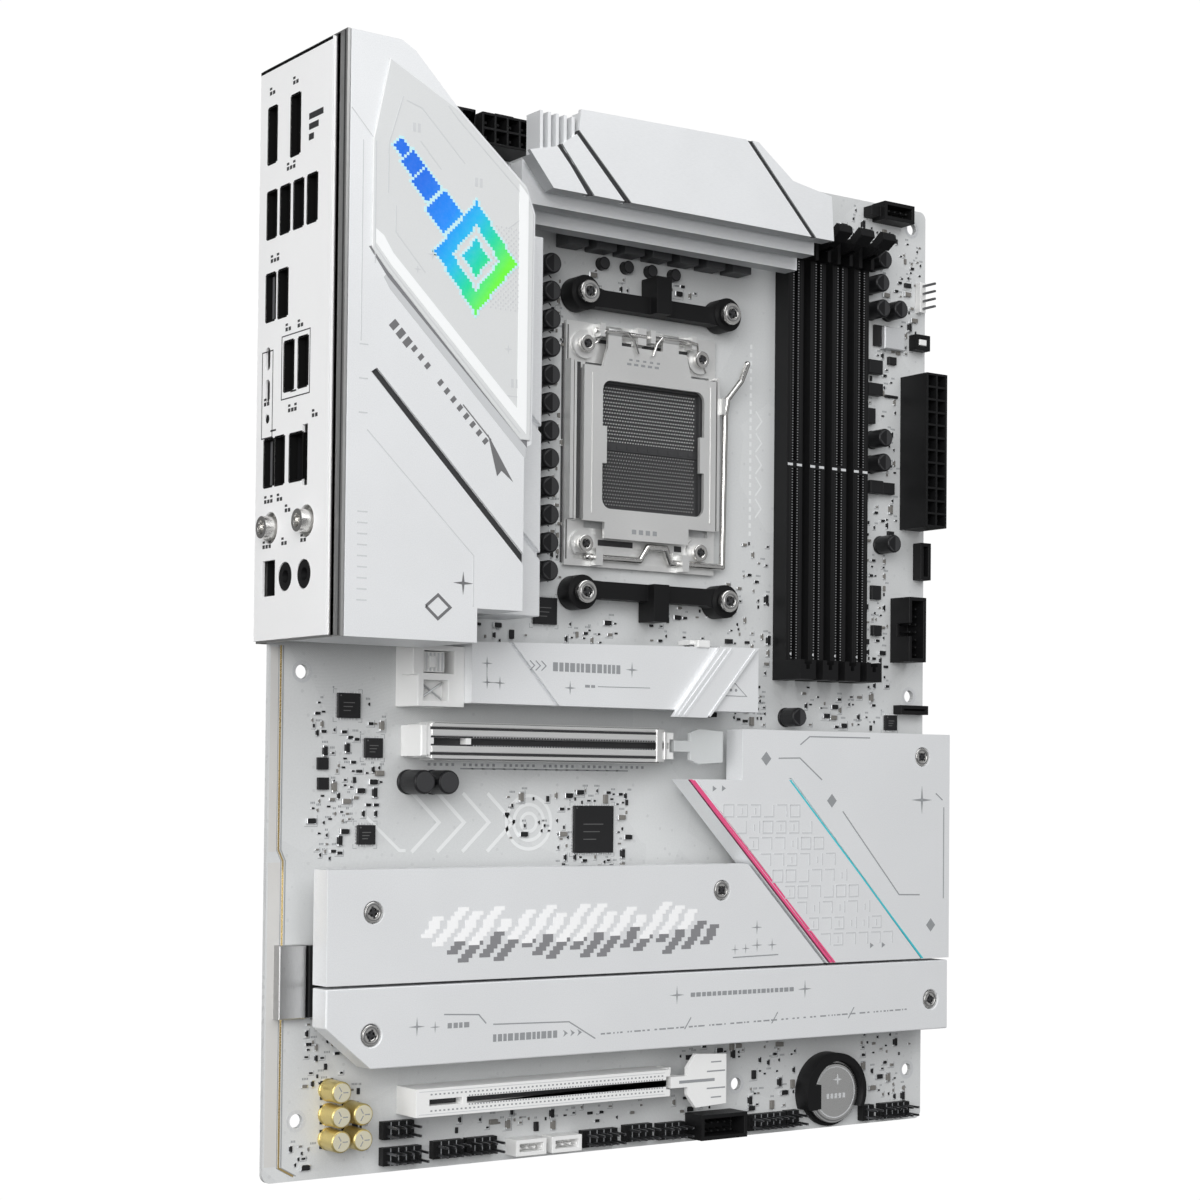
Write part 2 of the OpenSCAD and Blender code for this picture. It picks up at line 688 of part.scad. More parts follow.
// Card-edge connectors, latch posts and screw standoffs
module m2_connectors() {
  at_board() color([0.15, 0.15, 0.15]) {
    for (c = [[146.5, 131.8], [112, 59.2], [112, 31.8]]) difference() {
      block(c[0], c[1], 0, c[0] + 6.6, c[1] + 21.9, 4.2);
      block(c[0] - 1, c[1] + 1.2, 1.8, c[0] + 4, c[1] + 20.7, 2.8);
    }
    for (y = [70, 42.8]) post([33, y], 0, 3.2, 1.5);
    for (s = plate_screws) difference() {
      post(s, 0, 5.6, 2.8);
      post(s, -1, 6, 1.3);
    }
  }
}

// Turning latch that holds the end of a drive
module m2_quick_latch(y) {
  difference() {
    union() {
      post([33, y], 0.3, 2.8, 3.3);
      block(33, y - 1.3, 0.3, 38.4, y + 1.3, 2.2);
    }
    post([33, y], 0, 4, 1.56);
  }
}

module m2_quick_latch_1() {
  at_board() color("white") m2_quick_latch(70);
}

module m2_quick_latch_2() {
  at_board() color("white") m2_quick_latch(42.8);
}

// Counterbored plate over one or more screws
module screwed_plate(points, z0, z1) {
  difference() {
    slab(points, z0, z1);
    for (s = plate_screws) {
      post(s, z0 - 1, z1 + 1, 1.35);
      post(s, z1 - 2.2, z1 + 1, 3.2);
    }
  }
}

module m2_plate_upper() {
  at_board() color("whitesmoke") screwed_plate(long_plate, 6, plate_top);
}

module m2_plate_lower() {
  at_board() color("whitesmoke") screwed_plate(lower_plate, 6, plate_top);
}

module chipset_heatsink() {
  at_board() color("whitesmoke") difference() {
    screwed_plate(chip_plate, 6, plate_top);
    // the two coloured lines beside the slanted panel
    slab([[174.4, 113], [175.4, 113], [232.2, 54], [231.2, 54]], plate_top - 0.5, plate_top + 1);
    slab([[136.4, 113], [137.2, 113], [194.2, 54], [193.4, 54]], plate_top - 0.5, plate_top + 1);
  }
  at_board() color("lightgray") block(174, 84, 3, 196, 106, 6);
}

module heatsink_screws() {
  at_board() color("silver") for (s = plate_screws) {
    difference() {
      post(s, plate_top - 2.2, plate_top - 0.2, 2.9);
      post(s, plate_top - 1.3, plate_top, 1.2);
    }
    post(s, 0, plate_top - 2.2, 1.2);
  }
}

// Flat chip packages: chipset, network controller, codec and small controllers
module chip_packages() {
  chips = [[176, 86, 18, 2.2], [101.8, 89.8, 14.2, 1.2], [21.2, 128.4, 7, 1.2], [30.0, 117.3, 5.6, 1.2],
    [28, 92.8, 5.5, 1.2], [15, 113.8, 3.4, 1], [15.2, 108.2, 3.4, 1], [86.6, 158, 8, 1.2],
    [226.4, 129.4, 5, 1.2], [220.4, 257, 7, 1]];
  at_board() color([0.15, 0.15, 0.15])
    for (c = chips) block(c[0], c[1], 0, c[0] + c[2], c[1] + c[2], c[3]);
}

// ---------------------------------------------------------------- expansion slots
module slot_body(x0, y, half) {
  difference() {
    block(x0, y - half, 0, x0 + slot_len, y + half, slot_h);
    block(x0 + 4.4, y - 0.9, 3, x0 + 15.2, y + 0.9, slot_h + 1);
    block(x0 + 16.8, y - 0.9, 3, x0 + slot_len - 1.6, y + 0.9, slot_h + 1);
    // pocket for the latch at the far end
    block(x0 + slot_len - 1.4, y - 2, 0.4, x0 + slot_len + 1, y + 2, slot_h + 1);
  }
  // cheeks that carry the latch's pivot
  difference() {
    for (s = [-1, 1]) block(x0 + slot_len - 1.4, y + s * 3 - 1, 0, x0 + slot_len + 4, y + s * 3 + 1, 6);
    translate([x0 + slot_len + 1.6, y - 5, 3]) rotate([-90, 0, 0]) cylinder(h = 10, r = 1);
  }
}

// Latch of an expansion slot: a hook in the pocket and a paddle behind it
module slot_latch(x0, y, wing, tip) {
  px = x0 + slot_len + 1.6;
  union() {
    translate([px, y - 2.6, 3]) rotate([-90, 0, 0]) cylinder(h = 5.2, r = 0.94);
    block(px - 1.2, y - 1.7, 1.6, px + 3.6, y + 1.7, 11);
    block(px + 3.4, y - 1.7, 8, px + tip - 4, y + 1.7, 11);
    slab([[px + 5, y - 4.2], [px + 8.2, y - wing], [px + tip, y - wing + 0.6], [px + tip, y + wing - 0.6],
      [px + 8.2, y + wing], [px + 5, y + 4.2]], 9.4, 11);
  }
}

slot_a = [42, 122.35];
slot_b = [42, 20.2];

module pcie_slot_upper() {
  at_board() color("whitesmoke") slot_body(slot_a[0], slot_a[1], 4);
}

// Pressed metal jacket round the upper slot
module pcie_jacket() {
  x0 = slot_a[0] + 2.2;
  x1 = slot_a[0] + slot_len - 3;
  at_board() color("silver") for (s = [-1, 1]) {
    block(x0, slot_a[1] + s * 4.4 - 0.4, 0, x1, slot_a[1] + s * 4.4 + 0.4, slot_h - 0.6);
    block(x0 + 4, slot_a[1] + s * 5.15 - 0.35, 0, x1, slot_a[1] + s * 5.15 + 0.35, slot_h - 3);
  }
}

module pcie_latch_upper() {
  at_board() color([0.85, 0.85, 0.83]) slot_latch(slot_a[0], slot_a[1], 5.4, 17.6);
}

module pcie_slot_lower() {
  at_board() color("white") slot_body(slot_b[0], slot_b[1], 4);
}

module pcie_latch_lower() {
  at_board() color("white") slot_latch(slot_b[0], slot_b[1], 8.2, 20);
}

// ---------------------------------------------------------------- headers
// Open shroud with rows of pins; the notch faces the board's inside
module shroud(x0, y0, x1, y1, h) {
  difference() {
    block(x0, y0, 0, x1, y1, h);
    block(x0 + 1.2, y0 + 1.2, 1.6, x1 - 1.2, y1 - 1.2, h + 1);
  }
}

module pin_grid(x0, y0, nx, ny, h) {
  pitch = 2.54;
  for (i = [0:nx - 1], j = [0:ny - 1])
    translate([x0 + pitch * i - 0.32, y0 + pitch * j - 0.32, 0]) cube([0.64, 0.64, h]);
}

// Block of a pin header with its pins
module header(x0, y0, nx, ny) {
  pitch = 2.54;
  block(x0, y0, 0, x0 + nx * pitch, y0 + ny * pitch, 2.5);
  translate([0, 0, 2.49]) pin_grid(x0 + pitch / 2, y0 + pitch / 2, nx, ny, 6);
}

// Front edge: panel-cable header, low cable sockets and a fan header
module edge_headers() {
  at_board() color([0.12, 0.12, 0.12]) {
    // 19-way header with side walls and a key gap
    difference() {
      shroud(229, 152, 236.6, 173.4, 9.4);
      block(228, 160.4, 3.4, 231, 164.8, 10);
    }
    pin_grid(231.6, 154.4, 2, 7, 7);
    // low cable socket on the edge
    shroud(239, 180, 243.6, 192.4, 4);
    shroud(230.6, 134.8, 242.8, 137.8, 4);
    // small cable sockets beside the memory slots
    shroud(236.6, 257.2, 243, 262.4, 3.6);
    shroud(219.8, 298.2, 233, 304.2, 6.4);
    block(216, 299.2, 0, 220, 302.6, 4.2);
    pin_grid(222.4, 301.2, 4, 1, 5.6);
  }
  at_board() color("white") header(239.4, 270.2, 1, 4);
}

// Slot-end edge: front-panel, audio, fan and cable headers
module pin_headers() {
  at_board() color([0.12, 0.12, 0.12]) {
    header(36.4, 9.4, 4, 2);
    header(36.4, 2, 5, 2);
    header(53, 2.6, 4, 2);
    header(64.4, 2.6, 4, 2);
    header(105, 1.6, 5, 2);
    header(120.6, 2, 4, 2);
    header(133.2, 1.6, 4, 2);
    shroud(145, 1.2, 163, 9, 8.6);
    pin_grid(148.4, 3.6, 5, 2, 6);
    header(168.4, 1.6, 6, 2);
    header(184, 1.8, 2, 2);
    header(216, 1.2, 2, 2);
    header(224, 1.2, 5, 2);
  }
  at_board() color("white") for (x = [79, 91.6]) {
    shroud(x, 1.6, x + 10.6, 6.4, 6);
    pin_grid(x + 1.9, 3.8, 4, 1, 5);
  }
}

module battery_holder() {
  c = [202.8, 11.8];
  at_board() color([0.1, 0.1, 0.1]) difference() {
    union() {
      post(c, 0, 1.4, 11.2);
      // arched wall, thicker on one side
      intersection() {
        difference() {
          post(c + [-0.9, 0.2], 0, 6.2, 12.6);
          post(c, 1, 7, 10.2);
        }
        block(c[0] - 14, c[1] - 5, 0, c[0] + 12, c[1] + 14, 7);
      }
      // hook over the cell and the spring's tower
      block(c[0] - 11.8, c[1] - 4.8, 4.3, c[0] - 7.6, c[1] + 3, 6.2);
      block(c[0] + 10.3, c[1] - 2.4, 0, c[0] + 12.6, c[1] + 2.4, 4.6);
    }
    post(c, 0.9, 2, 10.2);
  }
}

module battery_cell() {
  at_board() color("silver") {
    post([202.8, 11.8], 0.9, 3.6, 10);
    post([202.8, 11.8], 3.6, 4.1, 9.2);
  }
}

// Shield cans and gold capacitors of the sound section
module audio_section() {
  at_board() color("silver") block(2.7, 45, 0, 11, 65.3, 3.4);
  at_board() color([0.1, 0.1, 0.1]) block(12, 45.2, 0, 18, 65, 3);
  at_board() color("gold") for (c = [[20.1, 24.5], [20.1, 17.7], [27, 18], [20.1, 10.9], [27, 10.9]])
    capacitor(c, 3.2, 8);
}

pcb();
cpu_backplate();
socket_housing();
socket_frame();
load_plate();
plate_hinge_pin();
socket_lever();
retention_screws();
cooler_bracket_upper();
cooler_bracket_lower();
dimm_slot_1();
dimm_slot_2();
dimm_slot_3();
dimm_slot_4();
dimm_latch_1();
dimm_latch_2();
dimm_latch_3();
dimm_latch_4();
atx_power_connector();
eps_power_connectors();
vrm_heatsink_left();
vrm_heatsink_top();
thermal_pads();
power_chokes();
power_stages();
capacitors();
io_shield();
io_faceplate();
io_cover();
io_window();
led_board();
video_ports();
usb_stack_tall();
usb_stack_upper();
usb_stack_middle();
lan_usb_stack();
antenna_jacks();
audio_jacks();
flash_button();
m2_heatsink_upper();
m2_release_bracket();
m2_release_slider();
m2_connectors();
m2_plate_upper();
m2_plate_lower();
m2_quick_latch_1();
m2_quick_latch_2();
chipset_heatsink();
chip_packages();
heatsink_screws();
pcie_slot_upper();
pcie_jacket();
pcie_latch_upper();
pcie_slot_lower();
pcie_latch_lower();
edge_headers();
pin_headers();
battery_holder();
battery_cell();
audio_section();
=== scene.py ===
import json
import math
import random

import bmesh
import bpy
from mathutils import Matrix, Quaternion, Vector

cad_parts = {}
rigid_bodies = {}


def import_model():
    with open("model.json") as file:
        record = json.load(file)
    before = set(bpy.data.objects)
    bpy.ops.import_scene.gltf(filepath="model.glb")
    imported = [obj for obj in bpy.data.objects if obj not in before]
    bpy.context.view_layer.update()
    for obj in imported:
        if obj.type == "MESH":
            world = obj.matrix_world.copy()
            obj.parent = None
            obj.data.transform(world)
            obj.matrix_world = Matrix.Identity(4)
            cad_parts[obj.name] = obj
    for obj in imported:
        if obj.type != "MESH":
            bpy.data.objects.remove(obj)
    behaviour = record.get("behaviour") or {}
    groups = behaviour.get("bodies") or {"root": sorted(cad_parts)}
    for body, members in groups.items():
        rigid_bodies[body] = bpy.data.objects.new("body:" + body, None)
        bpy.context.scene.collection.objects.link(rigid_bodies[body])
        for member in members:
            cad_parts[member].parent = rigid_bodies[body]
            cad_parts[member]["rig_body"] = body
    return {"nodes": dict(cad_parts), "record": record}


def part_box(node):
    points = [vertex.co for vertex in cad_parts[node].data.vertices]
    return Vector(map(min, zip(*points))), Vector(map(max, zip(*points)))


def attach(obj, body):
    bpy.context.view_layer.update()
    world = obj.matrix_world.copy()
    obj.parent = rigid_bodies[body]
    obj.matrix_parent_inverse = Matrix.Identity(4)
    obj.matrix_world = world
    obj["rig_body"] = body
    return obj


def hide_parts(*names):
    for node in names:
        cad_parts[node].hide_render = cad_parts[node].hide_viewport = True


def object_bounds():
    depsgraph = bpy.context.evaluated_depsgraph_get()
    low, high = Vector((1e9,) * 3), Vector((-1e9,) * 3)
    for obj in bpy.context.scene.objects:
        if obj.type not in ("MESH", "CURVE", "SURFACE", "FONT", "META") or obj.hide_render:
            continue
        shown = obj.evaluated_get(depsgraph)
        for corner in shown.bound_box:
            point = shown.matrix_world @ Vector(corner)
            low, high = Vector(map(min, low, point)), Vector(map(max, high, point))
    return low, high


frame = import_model()
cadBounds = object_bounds()
scene = bpy.context.scene
nodes = frame["nodes"]
print("frame loaded,", len(nodes), "nodes")

# the board's own corner: x from the rear edge, y from the slot end, z from the component face
mm = 0.001
boardLow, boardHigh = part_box("pcb")
boardThick = (boardHigh.z - boardLow.z) / mm
corner = Vector((boardLow.x, boardLow.y, boardHigh.z))


def at(x, y, z=0.0):
    return corner + Vector((x, y, z)) * mm


def boxOf(node):
    # a node's box in board millimetres: x0, y0, z0, x1, y1, z1
    low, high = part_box(node)
    return [*((low - corner) / mm), *((high - corner) / mm)]


# camera and light
cameraSetup = {"lens": 70.14, "sensor": 36, "shift": (-0.0321, 0.1026),
               "place": (-0.41884, 0.0309, 0.58225), "turn": (0.023655, -0.627279, 0.0177)}
cameraData = bpy.data.cameras.new("camera")
cameraData.lens = cameraSetup["lens"]
cameraData.sensor_width = cameraSetup["sensor"]
cameraData.shift_x, cameraData.shift_y = cameraSetup["shift"]
cameraData.clip_start, cameraData.clip_end = 0.01, 50
camera = bpy.data.objects.new("camera", cameraData)
turn = Vector(cameraSetup["turn"])
camera.rotation_mode = "QUATERNION"
camera.rotation_quaternion = Quaternion(turn.normalized(), turn.length)
camera.location = cameraSetup["place"]
scene.collection.objects.link(camera)
scene.camera = camera
scene.view_settings.view_transform = "Standard"

studio = {"world": 0.15, "floorDrop": 0.05, "floorSize": 6.0, "floorGlow": 1.02,
          "lights": {"keyLight": ((-1.2, 0.45, 1.35), 1.5, 25.5, (1.0, 1.0, 1.0)),
                     "topLight": ((0.1, 1.2, 1.1), 1.6, 11.5, (0.98, 0.99, 1.0)),
                     "sideLight": ((-1.7, 0.15, 0.25), 0.9, 10, (1.0, 1.0, 1.0)),
                     "fillLight": ((0.9, -0.2, 1.4), 1.8, 1.6, (1.0, 0.99, 0.98))}}


def addNode(tree, kind, inputs=None, **settings):
    node = tree.nodes.new(kind)
    for key, value in settings.items():
        setattr(node, key, value)
    for key, value in (inputs or {}).items():
        if isinstance(value, bpy.types.NodeSocket):
            tree.links.new(value, node.inputs[key])
        else:
            node.inputs[key].default_value = value
    return node


def emptyMaterial(name):
    material = bpy.data.materials.new(name)
    material.use_nodes = True
    material.node_tree.nodes.clear()
    return material


def buildStudio():
    world = bpy.data.worlds.new("studio")
    world.use_nodes = True
    world.node_tree.nodes["Background"].inputs["Color"].default_value = (0.95, 0.97, 1.0, 1)
    world.node_tree.nodes["Background"].inputs["Strength"].default_value = studio["world"]
    scene.world = world
    for name, (place, size, power, tint) in studio["lights"].items():
        data = bpy.data.lights.new(name, "AREA")
        data.shape, data.size, data.energy, data.color = "DISK", size, power, tint
        lamp = bpy.data.objects.new(name, data)
        lamp.location = place
        lamp.rotation_euler = (-Vector(place)).to_track_quat("-Z", "Y").to_euler()
        scene.collection.objects.link(lamp)
    bm = bmesh.new()
    bmesh.ops.create_grid(bm, x_segments=1, y_segments=1, size=studio["floorSize"])
    mesh = bpy.data.meshes.new("floor")
    bm.to_mesh(mesh)
    bm.free()
    mesh.transform(Matrix.Translation((0, 0, cadBounds[0][2] - studio["floorDrop"])))
    floor = bpy.data.objects.new("floor", mesh)
    scene.collection.objects.link(floor)
    material = emptyMaterial("floorPale")
    tree = material.node_tree
    glow = addNode(tree, "ShaderNodeEmission", {"Strength": studio["floorGlow"]})
    matt = addNode(tree, "ShaderNodeBsdfDiffuse", {"Color": (0.16, 0.16, 0.16, 1)})
    seen = addNode(tree, "ShaderNodeLightPath")
    mix = addNode(tree, "ShaderNodeMixShader",
                  {0: seen.outputs["Is Camera Ray"], 1: matt.outputs[0], 2: glow.outputs[0]})
    addNode(tree, "ShaderNodeOutputMaterial", {"Surface": mix.outputs[0]})
    mesh.materials.append(material)


buildStudio()


# effects that several finishes share
def newGroup(name, ins, outs):
    tree = bpy.data.node_groups.new(name, "ShaderNodeTree")
    kinds = {"v": "NodeSocketVector", "c": "NodeSocketColor", "f": "NodeSocketFloat"}
    for title, kind, value in ins:
        socket = tree.interface.new_socket(title, in_out="INPUT", socket_type=kinds[kind])
        if value is not None:
            socket.default_value = value
    for title, kind in outs:
        tree.interface.new_socket(title, in_out="OUTPUT", socket_type=kinds[kind])
    return tree, addNode(tree, "NodeGroupInput"), addNode(tree, "NodeGroupOutput")


def mathOf(tree, operation, a, b=0.5, clamp=False):
    return addNode(tree, "ShaderNodeMath", {0: a, 1: b}, operation=operation, use_clamp=clamp).outputs[0]


def mixColour(tree, share, a, b, blend="MIX"):
    node = addNode(tree, "ShaderNodeMix", data_type="RGBA", blend_type=blend)
    for key, value in ((0, share), (6, a), (7, b)):
        if isinstance(value, bpy.types.NodeSocket):
            tree.links.new(value, node.inputs[key])
        else:
            node.inputs[key].default_value = value
    return node.outputs[2]


def buildGrain():
    # fine speckle of a lacquer or a blasted surface, with slow cloudy drift and a little dust
    tree, gin, gout = newGroup(
        "fineGrain",
        [("Place", "v", None), ("Colour", "c", (0.8, 0.8, 0.8, 1)), ("Scale", "f", 2500.0),
         ("Stretch", "v", (1, 1, 1)), ("Contrast", "f", 0.1), ("Drift", "f", 0.04),
         ("Rough", "f", 0.4), ("Rough Spread", "f", 0.1), ("Dust", "f", 0.0)],
        [("Colour", "c"), ("Roughness", "f"), ("Height", "f")])
    spot = addNode(tree, "ShaderNodeVectorMath", {0: gin.outputs["Place"], 1: gin.outputs["Stretch"]},
                   operation="MULTIPLY").outputs[0]
    fine = addNode(tree, "ShaderNodeTexNoise",
                   {"Vector": spot, "Scale": gin.outputs["Scale"], "Detail": 3.0, "Roughness": 0.6})
    slow = addNode(tree, "ShaderNodeTexNoise",
                   {"Vector": gin.outputs["Place"], "Scale": 45.0, "Detail": 2.0})
    specks = addNode(tree, "ShaderNodeTexNoise",
                     {"Vector": gin.outputs["Place"], "Scale": 900.0, "Detail": 4.0, "Roughness": 0.75})
    fineOff = mathOf(tree, "SUBTRACT", fine.outputs["Fac"])
    slowOff = mathOf(tree, "SUBTRACT", slow.outputs["Fac"])
    shade = mathOf(tree, "ADD", mathOf(tree, "MULTIPLY", fineOff, gin.outputs["Contrast"]),
                   mathOf(tree, "MULTIPLY", slowOff, gin.outputs["Drift"]))
    dusty = mathOf(tree, "MULTIPLY", mathOf(tree, "GREATER_THAN", specks.outputs["Fac"], 0.68),
                   gin.outputs["Dust"])
    gain = mathOf(tree, "ADD", shade, 1.0)
    grey = addNode(tree, "ShaderNodeCombineColor", {0: gain, 1: gain, 2: gain}).outputs[0]
    tinted = mixColour(tree, 1.0, gin.outputs["Colour"], grey, "MULTIPLY")
    dusted = mixColour(tree, dusty, tinted, (0.55, 0.55, 0.54, 1))
    rough = mathOf(tree, "ADD", gin.outputs["Rough"],
                   mathOf(tree, "MULTIPLY", mathOf(tree, "ADD", fineOff, slowOff),
                          gin.outputs["Rough Spread"]), clamp=True)
    tree.links.new(dusted, gout.inputs["Colour"])
    tree.links.new(rough, gout.inputs["Roughness"])
    tree.links.new(fine.outputs["Fac"], gout.inputs["Height"])
    return tree


def buildTraces():
    # faint copper runs and vias that show through a solder mask
    tree, gin, gout = newGroup(
        "copperRuns", [("Place", "v", None), ("Pitch", "f", 900.0), ("Fade", "f", 0.1)], [("Mask", "f")])
    bend = addNode(tree, "ShaderNodeTexNoise", {"Vector": gin.outputs["Place"], "Scale": 22.0, "Detail": 0.0})
    drift = addNode(tree, "ShaderNodeVectorMath", {0: bend.outputs["Color"], "Scale": 0.012},
                    operation="SCALE")
    moved = addNode(tree, "ShaderNodeVectorMath", {0: gin.outputs["Place"], 1: drift.outputs[0]},
                    operation="ADD")
    runs = []
    for direction, angle in (("X", 0.0), ("X", math.pi / 4), ("Y", 0.0)):
        turned = addNode(tree, "ShaderNodeMapping", {"Vector": moved.outputs[0], "Rotation": (0, 0, angle)})
        wave = addNode(tree, "ShaderNodeTexWave",
                       {"Vector": turned.outputs[0], "Scale": gin.outputs["Pitch"]},
                       bands_direction=direction)
        runs.append(mathOf(tree, "GREATER_THAN", wave.outputs["Fac"], 0.72))
    zones = addNode(tree, "ShaderNodeTexVoronoi", {"Vector": gin.outputs["Place"], "Scale": 48.0})
    pick = addNode(tree, "ShaderNodeSeparateColor", {0: zones.outputs["Color"]})
    low = mathOf(tree, "LESS_THAN", pick.outputs[0], 0.36)
    high = mathOf(tree, "GREATER_THAN", pick.outputs[0], 0.7)
    mask = mathOf(tree, "ADD", mathOf(tree, "MULTIPLY", runs[0], low),
                  mathOf(tree, "MULTIPLY", runs[1], high))
    mid = mathOf(tree, "MULTIPLY", mathOf(tree, "SUBTRACT", mathOf(tree, "SUBTRACT", 1.0, low), high),
                 mathOf(tree, "MULTIPLY", runs[2], mathOf(tree, "GREATER_THAN", pick.outputs[1], 0.55)))
    vias = addNode(tree, "ShaderNodeTexVoronoi", {"Vector": gin.outputs["Place"], "Scale": 260.0})
    dots = mathOf(tree, "LESS_THAN", vias.outputs["Distance"], 0.13)
    total = mathOf(tree, "ADD", mathOf(tree, "ADD", mask, mid), dots, clamp=True)
    tree.links.new(mathOf(tree, "MULTIPLY", total, gin.outputs["Fade"]), gout.inputs["Mask"])
    return tree


grainTree = buildGrain()
tracesTree = buildTraces()


def finish(name, colour, rough=0.4, metal=0.0, grain=2500.0, stretch=(1, 1, 1), contrast=0.1, drift=0.04,
           spread=0.1, bump=0.02, dust=0.0, coat=0.0, runs=0.0, seeThrough=0.0, specular=0.5):
    # one procedural finish; runs draws copper runs under the coat
    material = emptyMaterial(name)
    tree = material.node_tree
    place = addNode(tree, "ShaderNodeTexCoord").outputs["Object"]
    group = addNode(tree, "ShaderNodeGroup", node_tree=grainTree)
    tree.links.new(place, group.inputs["Place"])
    for title, value in (("Colour", (*colour, 1)), ("Scale", grain), ("Stretch", stretch),
                         ("Contrast", contrast), ("Drift", drift), ("Rough", rough),
                         ("Rough Spread", spread), ("Dust", dust)):
        group.inputs[title].default_value = value
    shade = group.outputs["Colour"]
    if runs:
        copper = addNode(tree, "ShaderNodeGroup", node_tree=tracesTree)
        tree.links.new(place, copper.inputs["Place"])
        copper.inputs["Fade"].default_value = runs
        shade = mixColour(tree, copper.outputs["Mask"], shade, (0.2, 0.21, 0.22, 1))
    dent = addNode(tree, "ShaderNodeBump", {"Height": group.outputs["Height"], "Strength": bump * 10,
                                            "Distance": 0.0001})
    body = addNode(tree, "ShaderNodeBsdfPrincipled",
                   {"Base Color": shade, "Roughness": group.outputs["Roughness"], "Normal": dent.outputs[0],
                    "Metallic": metal, "Coat Weight": coat, "Alpha": 1.0 - seeThrough,
                    "Specular IOR Level": specular})
    addNode(tree, "ShaderNodeOutputMaterial", {"Surface": body.outputs[0]})
    return material


finishes = {
    "laminate": finish("boardMask", (0.66, 0.67, 0.67), 0.42, grain=1800, contrast=0.14, runs=0.16),
    "steel": finish("satinPlate", (0.8, 0.8, 0.79), 0.44, 0.68, grain=900, stretch=(1, 14, 1), contrast=0.2,
                    spread=0.2),
    "dark_steel": finish("blackSteel", (0.035, 0.035, 0.04), 0.45, 0.3),
    "nickel": finish("nickelPlate", (0.8, 0.79, 0.77), 0.2, 1.0, contrast=0.15),
    "white_metal": finish("pearlLacquer", (0.84, 0.85, 0.86), 0.42, 0.25, grain=3200, contrast=0.2,
                          drift=0.05, bump=0.03),
    "sink_metal": finish("brushedSink", (0.87, 0.88, 0.89), 0.42, 0.25, grain=700, stretch=(1, 22, 10),
                         contrast=0.22, spread=0.2),
    "face_white": finish("faceLacquer", (0.9, 0.9, 0.9), 0.45, contrast=0.05, drift=0.03),
    "shield_metal": finish("shieldSheet", (0.72, 0.72, 0.71), 0.32, 1.0, grain=600, stretch=(1, 1, 18)),
    "port_shell": finish("portShell", (0.012, 0.012, 0.013), 0.5, contrast=0.4, specular=0.25),
    "window_frost": finish("frostedWindow", (0.68, 0.69, 0.69), 0.5, grain=5000, contrast=0.12, coat=0.15),
    "black_plastic": finish("blackNylon", (0.008, 0.008, 0.0085), 0.5, grain=4200, contrast=0.5, spread=0.2,
                            specular=0.22),
    "socket_plastic": finish("socketResin", (0.05, 0.05, 0.052), 0.55, contrast=0.4, specular=0.3),
    "white_plastic": finish("whiteResin", (0.84, 0.84, 0.83), 0.35, contrast=0.05, drift=0.05),
    "clear_plastic": finish("milkyResin", (0.72, 0.74, 0.74), 0.3, contrast=0.06, seeThrough=0.25),
    "package_black": finish("chipResin", (0.014, 0.014, 0.015), 0.5, grain=5200, contrast=0.6, spread=0.25,
                            specular=0.3),
    "cap_black": finish("capSleeve", (0.01, 0.01, 0.011), 0.36, contrast=0.4, specular=0.3),
    "choke_grey": finish("pressedIron", (0.07, 0.072, 0.075), 0.6, grain=4200, contrast=0.7, bump=0.06),
    "pad_grey": finish("thermalPad", (0.42, 0.44, 0.47), 0.8, contrast=0.2),
    "cell_steel": finish("cellCan", (0.76, 0.76, 0.75), 0.28, 1.0, grain=500, stretch=(1, 16, 1),
                         contrast=0.2),
    "audio_metal": finish("canTin", (0.5, 0.5, 0.5), 0.3, 1.0, grain=700, stretch=(16, 1, 1), contrast=0.3),
}


def dressFrame():
    # every node of the frame takes the finish of its material slot
    for part in frame["record"]["subparts"]:
        mesh = nodes[part["node"]].data
        mesh.materials.clear()
        mesh.materials.append(finishes[part["material_slot"]])
        for face in mesh.polygons:
            face.material_index = 0


dressFrame()
print("finishes made:", len(finishes))


# shapes that most pieces are drawn with; places are board millimetres
def pieceFrom(bm, name, finishUsed, body="board"):
    mesh = bpy.data.meshes.new(name)
    bm.to_mesh(mesh)
    bm.free()
    mesh.materials.append(finishUsed)
    piece = bpy.data.objects.new(name, mesh)
    scene.collection.objects.link(piece)
    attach(piece, body)
    return piece


def addBlock(bm, x0, y0, z0, x1, y1, z1, chamfer=0.0):
    # a block whose upper edges may be chamfered
    rings = [(z0, 0.0), (z1 - chamfer, 0.0)] + ([(z1, chamfer)] if chamfer else [])
    if not chamfer:
        rings[1] = (z1, 0.0)
    loops = []
    for z, inset in rings:
        loops.append([bm.verts.new(at(x, y, z)) for x, y in (
            (x0 + inset, y0 + inset), (x1 - inset, y0 + inset),
            (x1 - inset, y1 - inset), (x0 + inset, y1 - inset))])
    joinLoops(bm, loops)


def joinLoops(bm, loops):
    # closes a stack of rings into a solid, bottom ring first, each ring anticlockwise from above
    bm.faces.new(list(reversed(loops[0])))
    for below, above in zip(loops, loops[1:]):
        n = len(below)
        for i in range(n):
            j = (i + 1) % n
            bm.faces.new((below[i], below[j], above[j], above[i]))
    bm.faces.new(loops[-1])


def addSlab(bm, points, z0, z1):
    # an upright prism on an outline; the outline may run either way round
    area = sum(a[0] * b[1] - b[0] * a[1] for a, b in zip(points, points[1:] + points[:1]))
    ring = points if area > 0 else list(reversed(points))
    loops = [[bm.verts.new(at(x, y, z)) for x, y in ring] for z in (z0, z1)]
    joinLoops(bm, loops)


